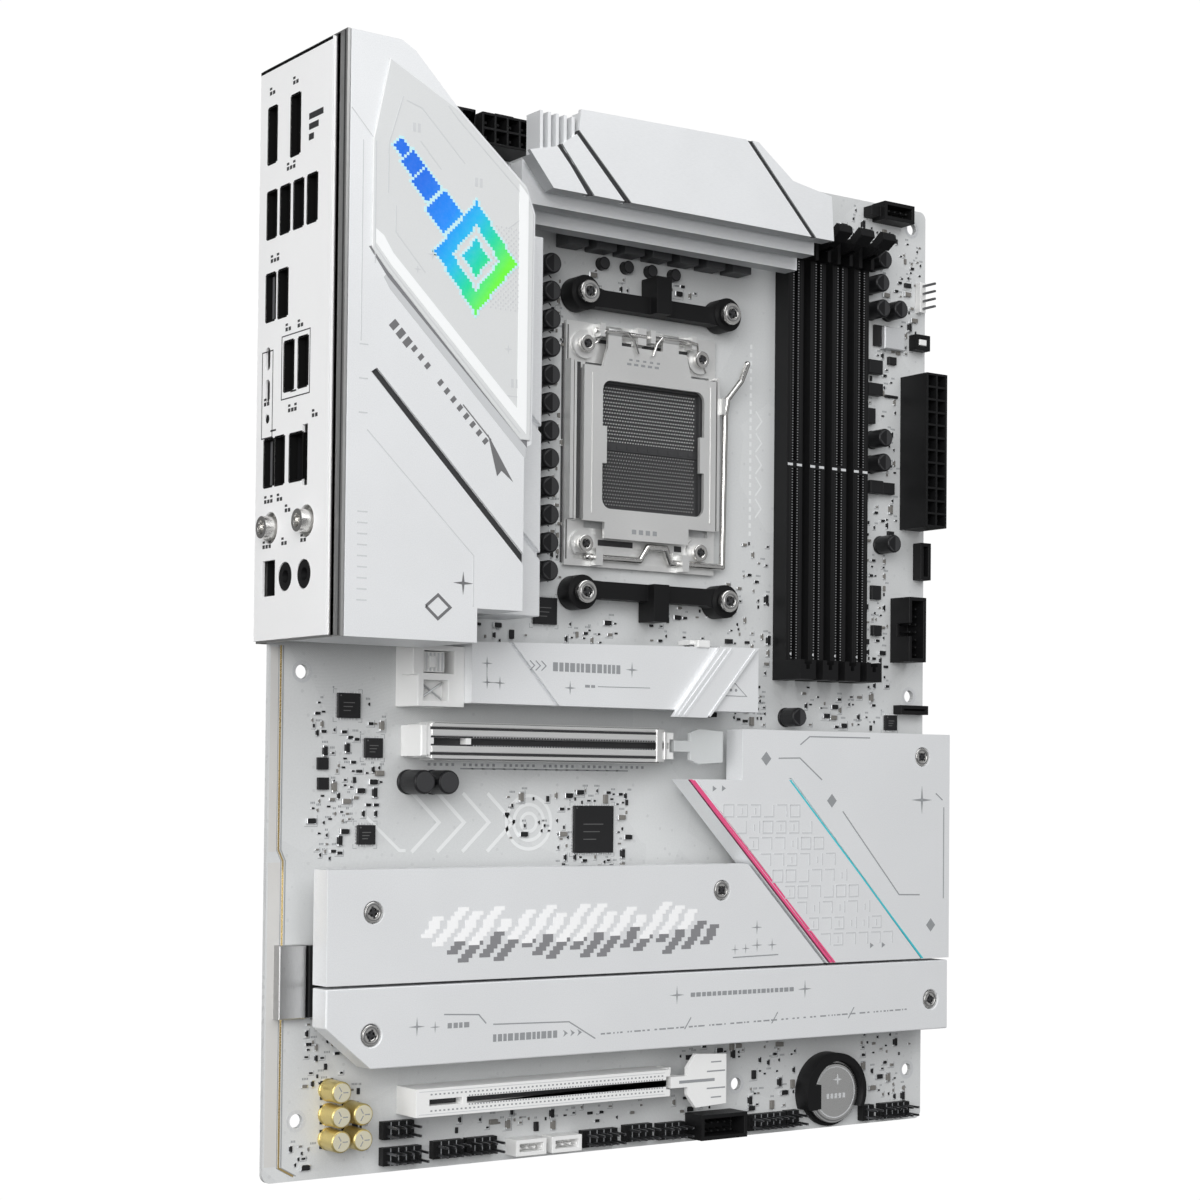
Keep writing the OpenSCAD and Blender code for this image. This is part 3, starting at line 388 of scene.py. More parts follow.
def addStroke(bm, points, width, z, rise=0.06):
    # a flat printed line with mitred corners
    left, right = [], []
    count = len(points)
    for i, (x, y) in enumerate(points):
        before = Vector(points[i]) - Vector(points[i - 1]) if i else None
        after = Vector(points[i + 1]) - Vector(points[i]) if i < count - 1 else None
        before = (before or after).normalized()
        after = (after or before).normalized()
        along = before + after
        along = along.normalized() if along.length > 0.2 else before
        reach = width / 2 / max(0.5, along.dot(before))
        side = Vector((-along.y, along.x)) * reach
        left.append((x + side.x, y + side.y))
        right.append((x - side.x, y - side.y))
    for i in range(count - 1):
        addSlab(bm, [right[i], right[i + 1], left[i + 1], left[i]], z, z + rise)


def addPost(bm, x, y, z0, z1, r, sides=20, inner=0.0):
    # a round post, or a ring where inner is given
    rings = []
    for z in (z0, z1):
        rings.append([bm.verts.new(at(x + r * math.cos(2 * math.pi * i / sides),
                                      y + r * math.sin(2 * math.pi * i / sides), z))
                      for i in range(sides)])
    if not inner:
        joinLoops(bm, rings)
        return
    bores = []
    for z in (z0, z1):
        bores.append([bm.verts.new(at(x + inner * math.cos(2 * math.pi * i / sides),
                                      y + inner * math.sin(2 * math.pi * i / sides), z))
                      for i in range(sides)])
    for i in range(sides):
        j = (i + 1) % sides
        bm.faces.new((rings[0][i], rings[0][j], rings[1][j], rings[1][i]))
        bm.faces.new((bores[0][j], bores[0][i], bores[1][i], bores[1][j]))
        bm.faces.new((rings[1][i], rings[1][j], bores[1][j], bores[1][i]))
        bm.faces.new((rings[0][j], rings[0][i], bores[0][i], bores[0][j]))


def addPlus(bm, x, y, reach, width, z, rise=0.06):
    # a four-pointed star mark with pinched arms
    points = []
    for i in range(8):
        angle = math.pi / 4 * i
        radius = reach if i % 2 == 0 else width
        points.append((x + radius * math.cos(angle), y + radius * math.sin(angle)))
    addSlab(bm, points, z, z + rise)


def addTube(bm, points, radius, sides=8):
    # a round wire through points given in board millimetres
    path = [Vector(p) for p in points]
    loops = []
    for i, p in enumerate(path):
        ahead = path[min(i + 1, len(path) - 1)] - path[max(i - 1, 0)]
        ahead.normalize()
        side = ahead.cross(Vector((0, 0, 1)) if abs(ahead.z) < 0.9 else Vector((0, 1, 0))).normalized()
        up = side.cross(ahead)
        loops.append([bm.verts.new(at(*(p + (side * math.cos(a) + up * math.sin(a)) * radius)))
                      for a in (2 * math.pi * k / sides for k in range(sides))])
    joinLoops(bm, loops)
    bmesh.ops.recalc_face_normals(bm, faces=bm.faces)


def roundedCopy(node, width, segments=2, name=None, finishUsed=None, keep=None, stands=True):
    # the frame's own shape with softened edges; keep picks faces by their centre in board millimetres
    source = nodes[node]
    bm = bmesh.new()
    bm.from_mesh(source.data)
    if keep:
        spare = [f for f in bm.faces if not keep((f.calc_center_median() - corner) / mm)]
        bmesh.ops.delete(bm, geom=spare, context="FACES")
    bmesh.ops.remove_doubles(bm, verts=bm.verts, dist=0.000002)
    bmesh.ops.dissolve_limit(bm, angle_limit=math.radians(0.8), verts=bm.verts, edges=bm.edges)
    body = source["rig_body"]
    piece = pieceFrom(bm, name or node + "Soft", finishUsed or source.data.materials[0], body)
    soften = piece.modifiers.new("soften", "BEVEL")
    soften.width, soften.segments = width * mm, segments
    soften.limit_method, soften.angle_limit = "ANGLE", math.radians(30)
    soften.use_clamp_overlap = True
    soften.harden_normals = False
    shown = piece.evaluated_get(bpy.context.evaluated_depsgraph_get())
    mesh = bpy.data.meshes.new_from_object(shown)
    piece.modifiers.remove(soften)
    piece.data = mesh
    if stands:
        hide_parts(node)
    return piece


# repeated shapes: one tree puts a shape on every place, one lays out a field
def treeStart(name, sockets):
    tree = bpy.data.node_groups.new(name, "GeometryNodeTree")
    tree.is_modifier = True
    for title, kind in sockets:
        tree.interface.new_socket(title, in_out="INPUT", socket_type="NodeSocket" + kind)
    tree.interface.new_socket("Pieces", in_out="OUTPUT", socket_type="NodeSocketGeometry")
    return tree, addNode(tree, "NodeGroupInput"), addNode(tree, "NodeGroupOutput")


def treeEnd(tree, instances, finishSocket, gout):
    real = addNode(tree, "GeometryNodeRealizeInstances", {0: instances})
    done = addNode(tree, "GeometryNodeSetMaterial", {"Geometry": real.outputs[0], "Material": finishSocket})
    tree.links.new(done.outputs[0], gout.inputs["Pieces"])


def buildOnPlaces():
    tree, gin, gout = treeStart("shapeOnPlaces", [
        ("Places", "Geometry"), ("Shape", "Object"), ("Scale", "Float"),
        ("Wobble", "Float"), ("Seed", "Int"), ("Finish", "Material")])
    shape = addNode(tree, "GeometryNodeObjectInfo", {"Object": gin.outputs["Shape"], "As Instance": True})
    points = addNode(tree, "GeometryNodeMeshToPoints", {"Mesh": gin.outputs["Places"]})
    size = addNode(tree, "GeometryNodeInputNamedAttribute", {"Name": "partSize"}, data_type="FLOAT_VECTOR")
    angle = addNode(tree, "GeometryNodeInputNamedAttribute", {"Name": "partTurn"}, data_type="FLOAT")
    low = mathOf(tree, "MULTIPLY", gin.outputs["Wobble"], -1.0)
    sway = addNode(tree, "FunctionNodeRandomValue",
                   {2: low, 3: gin.outputs["Wobble"], "Seed": gin.outputs["Seed"]},
                   data_type="FLOAT")
    total = mathOf(tree, "ADD", angle.outputs["Attribute"], sway.outputs[1])
    euler = addNode(tree, "ShaderNodeCombineXYZ", {"Z": total})
    turned = addNode(tree, "FunctionNodeEulerToRotation", {0: euler.outputs[0]})
    scaled = addNode(tree, "ShaderNodeVectorMath",
                     {0: size.outputs["Attribute"], "Scale": gin.outputs["Scale"]},
                     operation="SCALE")
    put = addNode(tree, "GeometryNodeInstanceOnPoints",
                  {"Points": points.outputs[0], "Instance": shape.outputs["Geometry"],
                   "Rotation": turned.outputs[0], "Scale": scaled.outputs[0]})
    treeEnd(tree, put.outputs[0], gin.outputs["Finish"], gout)
    return tree


def buildField():
    tree, gin, gout = treeStart("shapeField", [
        ("Places", "Geometry"), ("Shape", "Object"), ("Columns", "Int"), ("Rows", "Int"),
        ("Width", "Float"), ("Depth", "Float"), ("Centre", "Vector"), ("Finish", "Material")])
    shape = addNode(tree, "GeometryNodeObjectInfo", {"Object": gin.outputs["Shape"], "As Instance": True})
    grid = addNode(tree, "GeometryNodeMeshGrid",
                   {"Size X": gin.outputs["Width"], "Size Y": gin.outputs["Depth"],
                    "Vertices X": gin.outputs["Columns"], "Vertices Y": gin.outputs["Rows"]})
    moved = addNode(tree, "GeometryNodeTransform", {"Geometry": grid.outputs[0],
                                                    "Translation": gin.outputs["Centre"]})
    put = addNode(tree, "GeometryNodeInstanceOnPoints",
                  {"Points": moved.outputs[0], "Instance": shape.outputs["Geometry"]})
    treeEnd(tree, put.outputs[0], gin.outputs["Finish"], gout)
    return tree


onPlacesTree = buildOnPlaces()
fieldTree = buildField()


def unitShape(name, draw):
    # a small shape drawn in millimetres round its own centre, only used inside the trees
    bm = bmesh.new()
    draw(bm)
    for vert in bm.verts:
        vert.co = vert.co - corner
    mesh = bpy.data.meshes.new(name)
    bm.to_mesh(mesh)
    bm.free()
    shape = bpy.data.objects.new(name, mesh)
    scene.collection.objects.link(shape)
    return shape


def runTree(tree, name, start, values, body="board"):
    host = bpy.data.objects.new(name + "Host", start)
    scene.collection.objects.link(host)
    modifier = host.modifiers.new("layout", "NODES")
    modifier.node_group = tree
    for item in tree.interface.items_tree:
        if item.in_out == "INPUT" and item.name in values:
            modifier[item.identifier] = values[item.name]
    bpy.context.view_layer.update()
    mesh = bpy.data.meshes.new_from_object(host.evaluated_get(bpy.context.evaluated_depsgraph_get()))
    mesh.name = name
    mesh.materials.clear()
    mesh.materials.append(values["Finish"])
    mesh.polygons.foreach_set("material_index", [0] * len(mesh.polygons))
    for extra in ("partSize", "partTurn"):
        if extra in mesh.attributes:
            mesh.attributes.remove(mesh.attributes[extra])
    bpy.data.objects.remove(host)
    piece = bpy.data.objects.new(name, mesh)
    scene.collection.objects.link(piece)
    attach(piece, body)
    return piece


def onPlaces(name, shape, places, finishUsed, body="board", scale=1.0, wobble=0.0, seed=3):
    # places: (x, y, z, turn in degrees, (size x, size y, size z))
    start = bpy.data.meshes.new(name + "Places")
    start.from_pydata([at(*p[:3]) for p in places], [], [])
    start.attributes.new("partSize", "FLOAT_VECTOR", "POINT")
    start.attributes.new("partTurn", "FLOAT", "POINT")
    sizes = [v for p in places for v in (p[4] if len(p) > 4 else (1, 1, 1))]
    start.attributes["partSize"].data.foreach_set("vector", sizes)
    start.attributes["partTurn"].data.foreach_set("value", [math.radians(p[3]) if len(p) > 3 else 0.0
                                                            for p in places])
    return runTree(onPlacesTree, name, start, {"Shape": shape, "Scale": scale, "Wobble": wobble, "Seed": seed,
                                               "Finish": finishUsed}, body)


def field(name, shape, columns, rows, box, z, finishUsed, body="board"):
    # a field of columns x rows shapes between the box's corners, at height z
    x0, y0, x1, y1 = box
    return runTree(fieldTree, name, bpy.data.meshes.new(name + "Start"),
                   {"Shape": shape, "Columns": columns, "Rows": rows, "Width": abs(x1 - x0) * mm,
                    "Depth": abs(y1 - y0) * mm, "Centre": at((x0 + x1) / 2, (y0 + y1) / 2, z),
                    "Finish": finishUsed}, body)


# the grey and the dark print colours below also stand in for painted shade: the grey for the shade lines on
# the lower latch, the dark for the shade in the rear panel's gaps, round the socket frame, in the heat sink's
# grooves and in the screw recesses
greyInkAndShade = finish("greyInkAndShade", (0.3, 0.31, 0.32), 0.5, contrast=0.1)
printPale = finish("printPale", (0.6, 0.61, 0.62), 0.5, contrast=0.08)
printWhite = finish("printWhite", (0.95, 0.95, 0.95), 0.5, contrast=0.04)
darkInkAndShade = finish("darkInkAndShade", (0.03, 0.03, 0.032), 0.45, contrast=0.3)
goldPlate = finish("goldPlate", (0.83, 0.62, 0.28), 0.28, 1.0, contrast=0.2)
tinPlate = finish("tinPlate", (0.7, 0.71, 0.72), 0.3, 1.0, contrast=0.2)
pinkLine = finish("pinkLine", (0.8, 0.09, 0.24), 0.35, contrast=0.06)
cyanLine = finish("cyanLine", (0.05, 0.55, 0.62), 0.35, contrast=0.06)
print("shape and layout tools ready")


# board: printed marks, edge line, hole rings
boardMarks = {"edgeLine": [(3.6, 148.0), (3.6, 91.5), (5.0, 88.5), (4.9, 4.0), (9.5, 1.4)], "holeRing": 3.1,
              "ringBore": 2.0, "holes": [(10.16, 16.51), (10.16, 140.97), (237.49, 16.51), (237.49, 140.97),
                                         (165.1, 16.51), (165.1, 140.97), (33.02, 298.45), (165.1, 298.45),
                                         (237.49, 298.45)]}


def buildBoard():
    line = bmesh.new()
    addStroke(line, boardMarks["edgeLine"], 0.55, 0.0, 0.05)
    pieceFrom(line, "edgeGoldLine", goldPlate)
    shadow = bmesh.new()
    addStroke(shadow, [(x + 0.75, y) for x, y in boardMarks["edgeLine"]], 0.35, 0.0, 0.04)
    addStroke(shadow, [(x - 0.6, y) for x, y in boardMarks["edgeLine"]], 0.2, 0.0, 0.04)
    pieceFrom(shadow, "edgeDarkLine", greyInkAndShade)
    pale = bmesh.new()
    for ya, yb, x in ((91.0, 147.5, 2.9), (4.5, 88.0, 4.2)):
        addBlock(pale, 0.5, ya, 0.0, x, yb, 0.03)
    pieceFrom(pale, "edgePaleStrip", finish("edgePale", (0.62, 0.61, 0.59), 0.45, contrast=0.06))
    rings = bmesh.new()
    pads = bmesh.new()
    for x, y in boardMarks["holes"]:
        for z in (0.0, -boardThick - 0.04):
            addPost(rings, x, y, z, z + 0.04, boardMarks["holeRing"], 32, boardMarks["ringBore"])
            for i in range(12):
                a = math.pi / 6 * i
                addPost(pads, x + 2.6 * math.cos(a), y + 2.6 * math.sin(a), z + 0.015, z + 0.055, 0.16, 8)
    pieceFrom(rings, "holeRings", printPale)
    pieceFrom(pads, "holeRingDots", tinPlate)


# regions that hold small parts: (x0, y0, x1, y1, how many, share of black bodies)
smallPartZones = [
    (13.5, 88.5, 24.5, 133.5, 46, 0.7), (24.5, 99.5, 36.0, 133.0, 34, 0.75),
    (95.5, 84.6, 100.0, 108.5, 16, 0.7), (117.6, 84.8, 122.6, 108.8, 16, 0.7),
    (101.0, 84.6, 117.0, 88.8, 12, 0.6), (101.0, 105.0, 117.0, 108.6, 12, 0.6),
    (77.0, 94.0, 93.0, 108.0, 14, 0.85), (12.4, 26.0, 24.0, 43.5, 26, 0.6), (8.5, 3.0, 15.8, 10.0, 8, 0.7),
    (14.8, 21.4, 35.0, 24.0, 5, 0.5), (22.0, 13.0, 34.5, 15.0, 4, 0.7), (60.0, 8.8, 128.0, 13.8, 26, 0.55),
    (136.0, 9.6, 160.0, 15.0, 9, 0.5), (169.5, 8.0, 190.0, 28.5, 26, 0.55),
    (216.0, 8.0, 241.0, 29.5, 34, 0.6), (142.0, 24.5, 168.0, 29.0, 14, 0.6),
    (98.0, 152.8, 118.0, 160.2, 14, 0.75), (129.0, 153.6, 152.0, 165.5, 18, 0.7),
    (158.0, 145.5, 176.5, 176.0, 34, 0.6), (58.0, 152.0, 84.0, 157.2, 10, 0.7),
    (162.0, 128.8, 176.0, 143.0, 16, 0.7), (190.0, 129.5, 226.0, 142.6, 30, 0.7),
    (216.5, 143.5, 227.5, 188.0, 50, 0.7), (216.0, 192.0, 231.0, 254.0, 42, 0.75),
    (223.6, 255.0, 240.5, 266.4, 18, 0.7), (229.8, 267.0, 241.5, 294.0, 26, 0.6),
    (214.5, 272.0, 228.0, 297.0, 26, 0.6), (176.5, 289.0, 213.0, 303.2, 30, 0.55),
    (176.0, 279.5, 178.2, 288.6, 3, 0.8), (92.0, 171.0, 96.0, 262.0, 40, 0.25),
    (106.0, 259.6, 120.0, 266.6, 8, 0.5), (134.0, 259.0, 148.0, 266.6, 8, 0.5),
    (157.8, 176.0, 176.8, 188.0, 9, 0.5), (80.4, 171.0, 83.4, 262.0, 20, 0.3),
]


# larger black bodies beside the memory slots: low x, low y, high x, high y, height
edgeBodies = ((217.1, 247.3, 223.0, 251.9, 2.4), (217.1, 240.2, 223.1, 244.2, 2.4),
              (217.1, 230.7, 220.3, 235.8, 2.0), (217.4, 207.6, 223.0, 211.8, 3.0),
              (223.6, 207.8, 228.8, 211.6, 2.2), (225.6, 240.3, 231.2, 241.2, 0.8),
              (226.8, 251.4, 230.2, 254.0, 1.2), (219.8, 172.6, 224.0, 177.2, 1.2),
              (220.2, 160.6, 224.0, 164.0, 1.6))


def clearOf(x, y, reach, taken):
    return all(abs(x - tx) > reach + tr or abs(y - ty) > reach + tr for tx, ty, tr in taken)


def buildSmallParts():
    # little chip parts on a half-millimetre grid: bodies, tin ends and pale frames
    draw = random.Random(41)
    body = unitShape("partBody", lambda bm: addBlock(bm, -0.5, -0.25, 0.0, 0.5, 0.25, 0.5, 0.05))
    ends = unitShape("partEnds", lambda bm: [addBlock(bm, s - 0.11, -0.27, 0.0, s + 0.11, 0.27, 0.48, 0.04)
                                             for s in (-0.46, 0.46)])
    frames = bmesh.new()
    blacks, browns, tins = [], [], []
    taken = [(x, y, 4.6) for x, y in boardMarks["holes"]]
    # chips and cans that the small parts keep clear of: x, y, reach
    taken += [(24.7, 131.9, 5.2), (32.8, 120.1, 4.4), (30.8, 95.6, 4.2), (16.7, 115.5, 2.6),
              (16.9, 109.9, 2.6), (218.4, 276.6, 3.7), (218.9, 268.2, 3.7), (226.6, 268.8, 3.7),
              (224.2, 190.8, 3.7), (219.4, 284.4, 3.7), (220.5, 260.4, 5.2), (184, 132.6, 3.8),
              (228.9, 131.9, 3.6), (202.8, 11.8, 13.0), (90.6, 162, 4.6), (220.1, 225.5, 3.7),
              (219.7, 217.3, 3.7)]
    taken += [(x, (b + d) / 2, (d - b) / 2 + 0.4) for a, b, c, d, _ in edgeBodies for x in (a + 1.8, c - 1.8)]
    for x0, y0, x1, y1, count, black in smallPartZones:
        placed = []
        for _ in range(count * 3):
            if len(placed) >= count:
                break
            x = round(draw.uniform(x0, x1) * 2) / 2
            y = round(draw.uniform(y0, y1) * 2) / 2
            if not clearOf(x, y, 0.6, taken) or not clearOf(x, y, 0.75, placed):
                continue
            big = draw.random()
            size = (1.0, 1.0, 0.7) if big < 0.55 else ((1.7, 1.6, 1.1) if big < 0.86 else (2.7, 2.8, 1.7))
            angle = draw.choice((0, 90))
            reach = 0.62 * size[0]
            placed.append((x, y, reach))
            dark = draw.random() < black
            (blacks if dark else browns).append((x, y, 0.0, angle, size))
            if draw.random() < 0.8:
                tins.append((x, y, 0.0, angle, size))
            if draw.random() < 0.32:
                w, d = reach + 0.35, 0.5 * size[1] + 0.2
                if angle != 0:
                    w, d = d, w
                addStroke(frames, [(x - w, y - d), (x + w, y - d), (x + w, y + d)], 0.14, 0.0, 0.03)
            if draw.random() < 0.45:
                lx, ly = x + draw.uniform(-1, 1), y + reach + 0.6
                for k in range(draw.choice((2, 3, 4))):
                    addBlock(frames, lx + 0.5 * k, ly, 0.0, lx + 0.5 * k + 0.32, ly + 0.6, 0.03)
        taken += placed
    onPlaces("smallPartsBlack", body, blacks, finishes["package_black"], seed=5, wobble=0.02)
    onPlaces("smallPartsBrown", body, browns, finish("partCeramic", (0.2, 0.19, 0.175), 0.45, contrast=0.3),
             seed=6, wobble=0.02)
    onPlaces("smallPartEnds", ends, tins, tinPlate, seed=5, wobble=0.0)
    pieceFrom(frames, "boardPrint", greyInkAndShade)
    larger = bmesh.new()
    for x0, y0, x1, y1, height in edgeBodies:
        addBlock(larger, x0, y0, 0.0, x1, y1, height, 0.15)
    pieceFrom(larger, "edgeBodies", finishes["package_black"])
    for shape in (body, ends):
        bpy.data.objects.remove(shape)


# flat packages with legs: x, y, size, legs a side
chipLegs = [(24.7, 131.9, 7.0, 8), (32.8, 120.1, 5.6, 6), (30.75, 95.55, 5.5, 6), (108.9, 96.9, 14.2, 16),
            (90.6, 162.0, 8.0, 8), (228.9, 131.9, 5.0, 6)]


def buildChipLegs():
    # rows of solder legs round the flat packages, and a pale frame with a corner dot
    leg = unitShape("chipLeg", lambda bm: addBlock(bm, -0.14, -0.35, 0.0, 0.14, 0.35, 0.16, 0.03))
    places = []
    frames = bmesh.new()
    for x, y, size, count in chipLegs:
        half = size / 2
        for i in range(count):
            off = -half + size * (i + 0.5) / count
            places += [(x + off, y - half - 0.25, 0.0, 0), (x + off, y + half + 0.25, 0.0, 0),
                       (x - half - 0.25, y + off, 0.0, 90), (x + half + 0.25, y + off, 0.0, 90)]
        out = half + 1.1
        for sx, sy in ((-1, -1), (1, -1), (1, 1), (-1, 1)):
            addStroke(frames, [(x + sx * (out - 1.2), y + sy * out), (x + sx * out, y + sy * out),
                               (x + sx * out, y + sy * (out - 1.2))], 0.16, 0.0, 0.03)
        addPost(frames, x - out, y + out + 0.5, 0.0, 0.03, 0.28, 10)
    onPlaces("chipLegs", leg, places, tinPlate)
    bpy.data.objects.remove(leg)
    pieceFrom(frames, "chipFrames", greyInkAndShade)
    lids = bmesh.new()
    for x, y, size, count in chipLegs:
        top = 1.2
        addPost(lids, x - size / 2 + 0.7, y + size / 2 - 0.7, top, top + 0.02, 0.25, 10)
        for k in range(3):
            addBlock(lids, x - size * 0.28, y - 0.22 * size + k * 0.16 * size, top,
                     x + size * (0.05 + 0.09 * k), y - 0.22 * size + k * 0.16 * size + 0.25, top + 0.02)
    pieceFrom(lids, "chipTopMarks", finish("chipInk", (0.1, 0.1, 0.1), 0.6))


buildBoard()
buildSmallParts()
buildChipLegs()
print("board dressed")


# rear panel: labels, frames, lips, tongues
panelPrint = {"x": boxOf("io_faceplate")[0], "railLow": 38.6, "mouth": 0.75,
              "labels": [(300.0, 3.2, 2), (299.8, 16.9, 2), (276.9, 14.8, 3), (253.2, 6.0, 3),
                         (232.9, 14.4, 2), (232.9, 21.4, 2), (210.6, 17.4, 3), (187.0, 4.0, 3),
                         (187.0, 10.6, 2), (183.6, 15.4, 2), (174.6, 3.4, 3), (174.8, 13.6, 2),
                         (174.8, 24.6, 2), (207.6, 30.2, 2), (214.0, 2.2, 2)],
              "frames": [(214.0, 10.6, 231.2, 26.8), (204.6, -0.9, 228.4, 5.4)]}
# openings of the rear panel: low y, low z, high y, high z
sockets = [(259.8, 0.8 + 7.8 * i, 272.4, 6.0 + 7.8 * i) for i in range(4)]
sockets += [(236.9, 0.8, 249.6, 6.0), (236.9, 8.0, 249.6, 13.2), (216.2, 12.0, 229.4, 17.2),
            (216.2, 20.2, 229.4, 25.4), (191.2, 0.8, 204.0, 6.0), (191.2, 7.2, 204.0, 12.4)]
videoSockets = [(280.6, 0.8, 295.8, 5.6), (280.0, 14.2, 296.2, 19.2)]
lanSocket = (191.3, 15.8, 203.8, 23.1)


def panelBlock(bm, y0, z0, y1, z1, rise=0.05):
    x = panelPrint["x"]
    addBlock(bm, x - rise, y0, z0, x, y1, z1)


def panelLine(bm, points, width):
    for (ya, za), (yb, zb) in zip(points, points[1:]):
        panelBlock(bm, min(ya, yb) - width / 2, min(za, zb) - width / 2, max(ya, yb) + width / 2,
                   max(za, zb) + width / 2)


def buildPanel():
    ink = bmesh.new()
    for y, z, count in panelPrint["labels"]:
        for k in range(count):
            panelBlock(ink, y - 0.5, z - 0.9 * count + 1.8 * k, y + 0.5, z - 0.9 * count + 1.8 * k + 1.3)
            if k % 2 == 0:
                panelBlock(ink, y + 0.95, z - 0.9 * count + 1.8 * k, y + 1.6, z - 0.9 * count + 1.8 * k + 1.3)
    for y0, z0, y1, z1 in panelPrint["frames"]:
        panelLine(ink, [(y0, z0), (y1, z0), (y1, z1), (y0, z1), (y0, z0)], 0.32)
        panelBlock(ink, y0 + 1.4, z0 + 5.4, y0 + 1.9, z0 + 8.6)
    # three plain stepped bars at the top
    for k in range(3):
        panelBlock(ink, 282.0 + 2.8 * k, 24.6, 283.7 + 2.8 * k, 27.4 + 2.6 * k)
    pieceFrom(ink, "panelPrint", darkInkAndShade)
    # dark mouths round the openings, and the panel's dark folded end
    mouths = bmesh.new()
    m = panelPrint["mouth"]
    for y0, z0, y1, z1 in sockets + videoSockets + [lanSocket]:
        x = panelPrint["x"] + 0.02
        for a, b, c, d in ((y0, z0, y1, z0 + 0.1), (y0, z1 - 0.1, y1, z1), (y0, z0, y0 + 0.1, z1),
                           (y1 - 0.1, z0, y1, z1)):
            addBlock(mouths, x, a, b, x + 2.4, c, d)
        for a, b, c, d in ((y0 - 0.15, z0 - 0.4, y1 + 0.15, z0), (y0 - 0.15, z1, y1 + 0.15, z1 + m),
                           (y0 - 0.5, z0, y0, z1), (y1, z0, y1 + 0.5, z1)):
            panelBlock(mouths, a, b, c, d, 0.04)
    for y0, z0, y1, z1 in videoSockets:
        for y, side in ((y0, 1), (y1, -1)):
            # cut corners of the two video sockets
            addSlab(mouths, [(panelPrint["x"] - 0.04, y), (panelPrint["x"], y),
                             (panelPrint["x"], y + side * 1.6),
                             (panelPrint["x"] - 0.04, y + side * 1.6)], z0 - 0.4, z0 - 0.05)
    end = boxOf("io_faceplate")
    panelBlock(mouths, end[4] - 0.9, end[2] + 0.1, end[4] - 0.05, end[5] - 0.1, 0.04)
    pieceFrom(mouths, "panelMouths", finish("mouthBlack", (0.006, 0.006, 0.006), 0.7, contrast=0.2,
                                            specular=0.1))
    lips = bmesh.new()
    x0, y0, _, _, y1, _ = boxOf("io_shield")
    top = boxOf("io_cover")[5]
    # folded rails between the panel and the cover: a bright strip, with a dark gap of painted shade on each
    # side
    addBlock(lips, x0, y0 + 0.4, panelPrint["railLow"], x0 + 0.3, y1 - 0.4, panelPrint["railLow"] + 1.5)
    pieceFrom(lips, "panelRail", finishes["face_white"])
    shadeStrips = bmesh.new()
    for z, width in ((panelPrint["railLow"] - 0.55, 0.5), (top - 1.6, 0.75)):
        addBlock(shadeStrips, x0 - 0.04, y0 + 0.3, z, x0, y1 - 0.3, z + width)
    pieceFrom(shadeStrips, "panelGaps", darkInkAndShade)


buildPanel()


def buildPorts():
    # tongues, contacts and spring fingers inside the sockets
    pins = bmesh.new()
    pads = bmesh.new()
    for y0, z0, y1, z1 in sockets:
        for k in range(4):
            y = y0 + 2.6 + 2.4 * k
            addBlock(pins, 1.4, y, z1 - 2.68, 6.0, y + 1.0, z1 - 2.6)
        for y in (y0 + 2.6, y1 - 4.2):
            addBlock(pads, 0.6, y, z0 + 0.02, 3.2, y + 1.6, z0 + 0.3)
    for k in range(8):
        addBlock(pins, 1.0, 193.1 + 1.27 * k, 22.4, 9.0, 193.6 + 1.27 * k, 22.6)
    pieceFrom(pins, "portContacts", goldPlate)
    # painted shade: the spring fingers are steel painted near black as the shade inside the sockets
    pieceFrom(pads, "portFingers", finish("shadedFingerSteel", (0.1, 0.1, 0.1), 0.4, 1.0, contrast=0.2))
    grey = bmesh.new()
    addBlock(grey, -0.9, 236.95, 0.85, -0.5, 249.55, 4.0)
    addBlock(grey, -0.9, 191.25, 0.85, -0.5, 203.95, 4.2)
    pieceFrom(grey, "portTongueTips", finish("portTip", (0.12, 0.12, 0.125), 0.4, contrast=0.3))


buildPorts()
print("rear panel dressed")


# port cover: softened shell, printed lines and the lit window
coverTop = boxOf("io_cover")[5]
windowTop = boxOf("io_window")[5] - 0.1
coverPrint = {"lines": [[(-0.6, 287.0), (6.9, 279.2), (6.9, 247.0)],
                        [(5.2, 202.8), (38.4, 171.8), (38.4, 158.0)], [(3.0, 279.0), (3.0, 226.0)]],
              "ticks": ([(2.6, y, 2.6) for y in (225, 216, 207)]
                        + [(2.6, 181 - 2.9 * k, 3.0) for k in range(9)]),
              "dashes": 15}


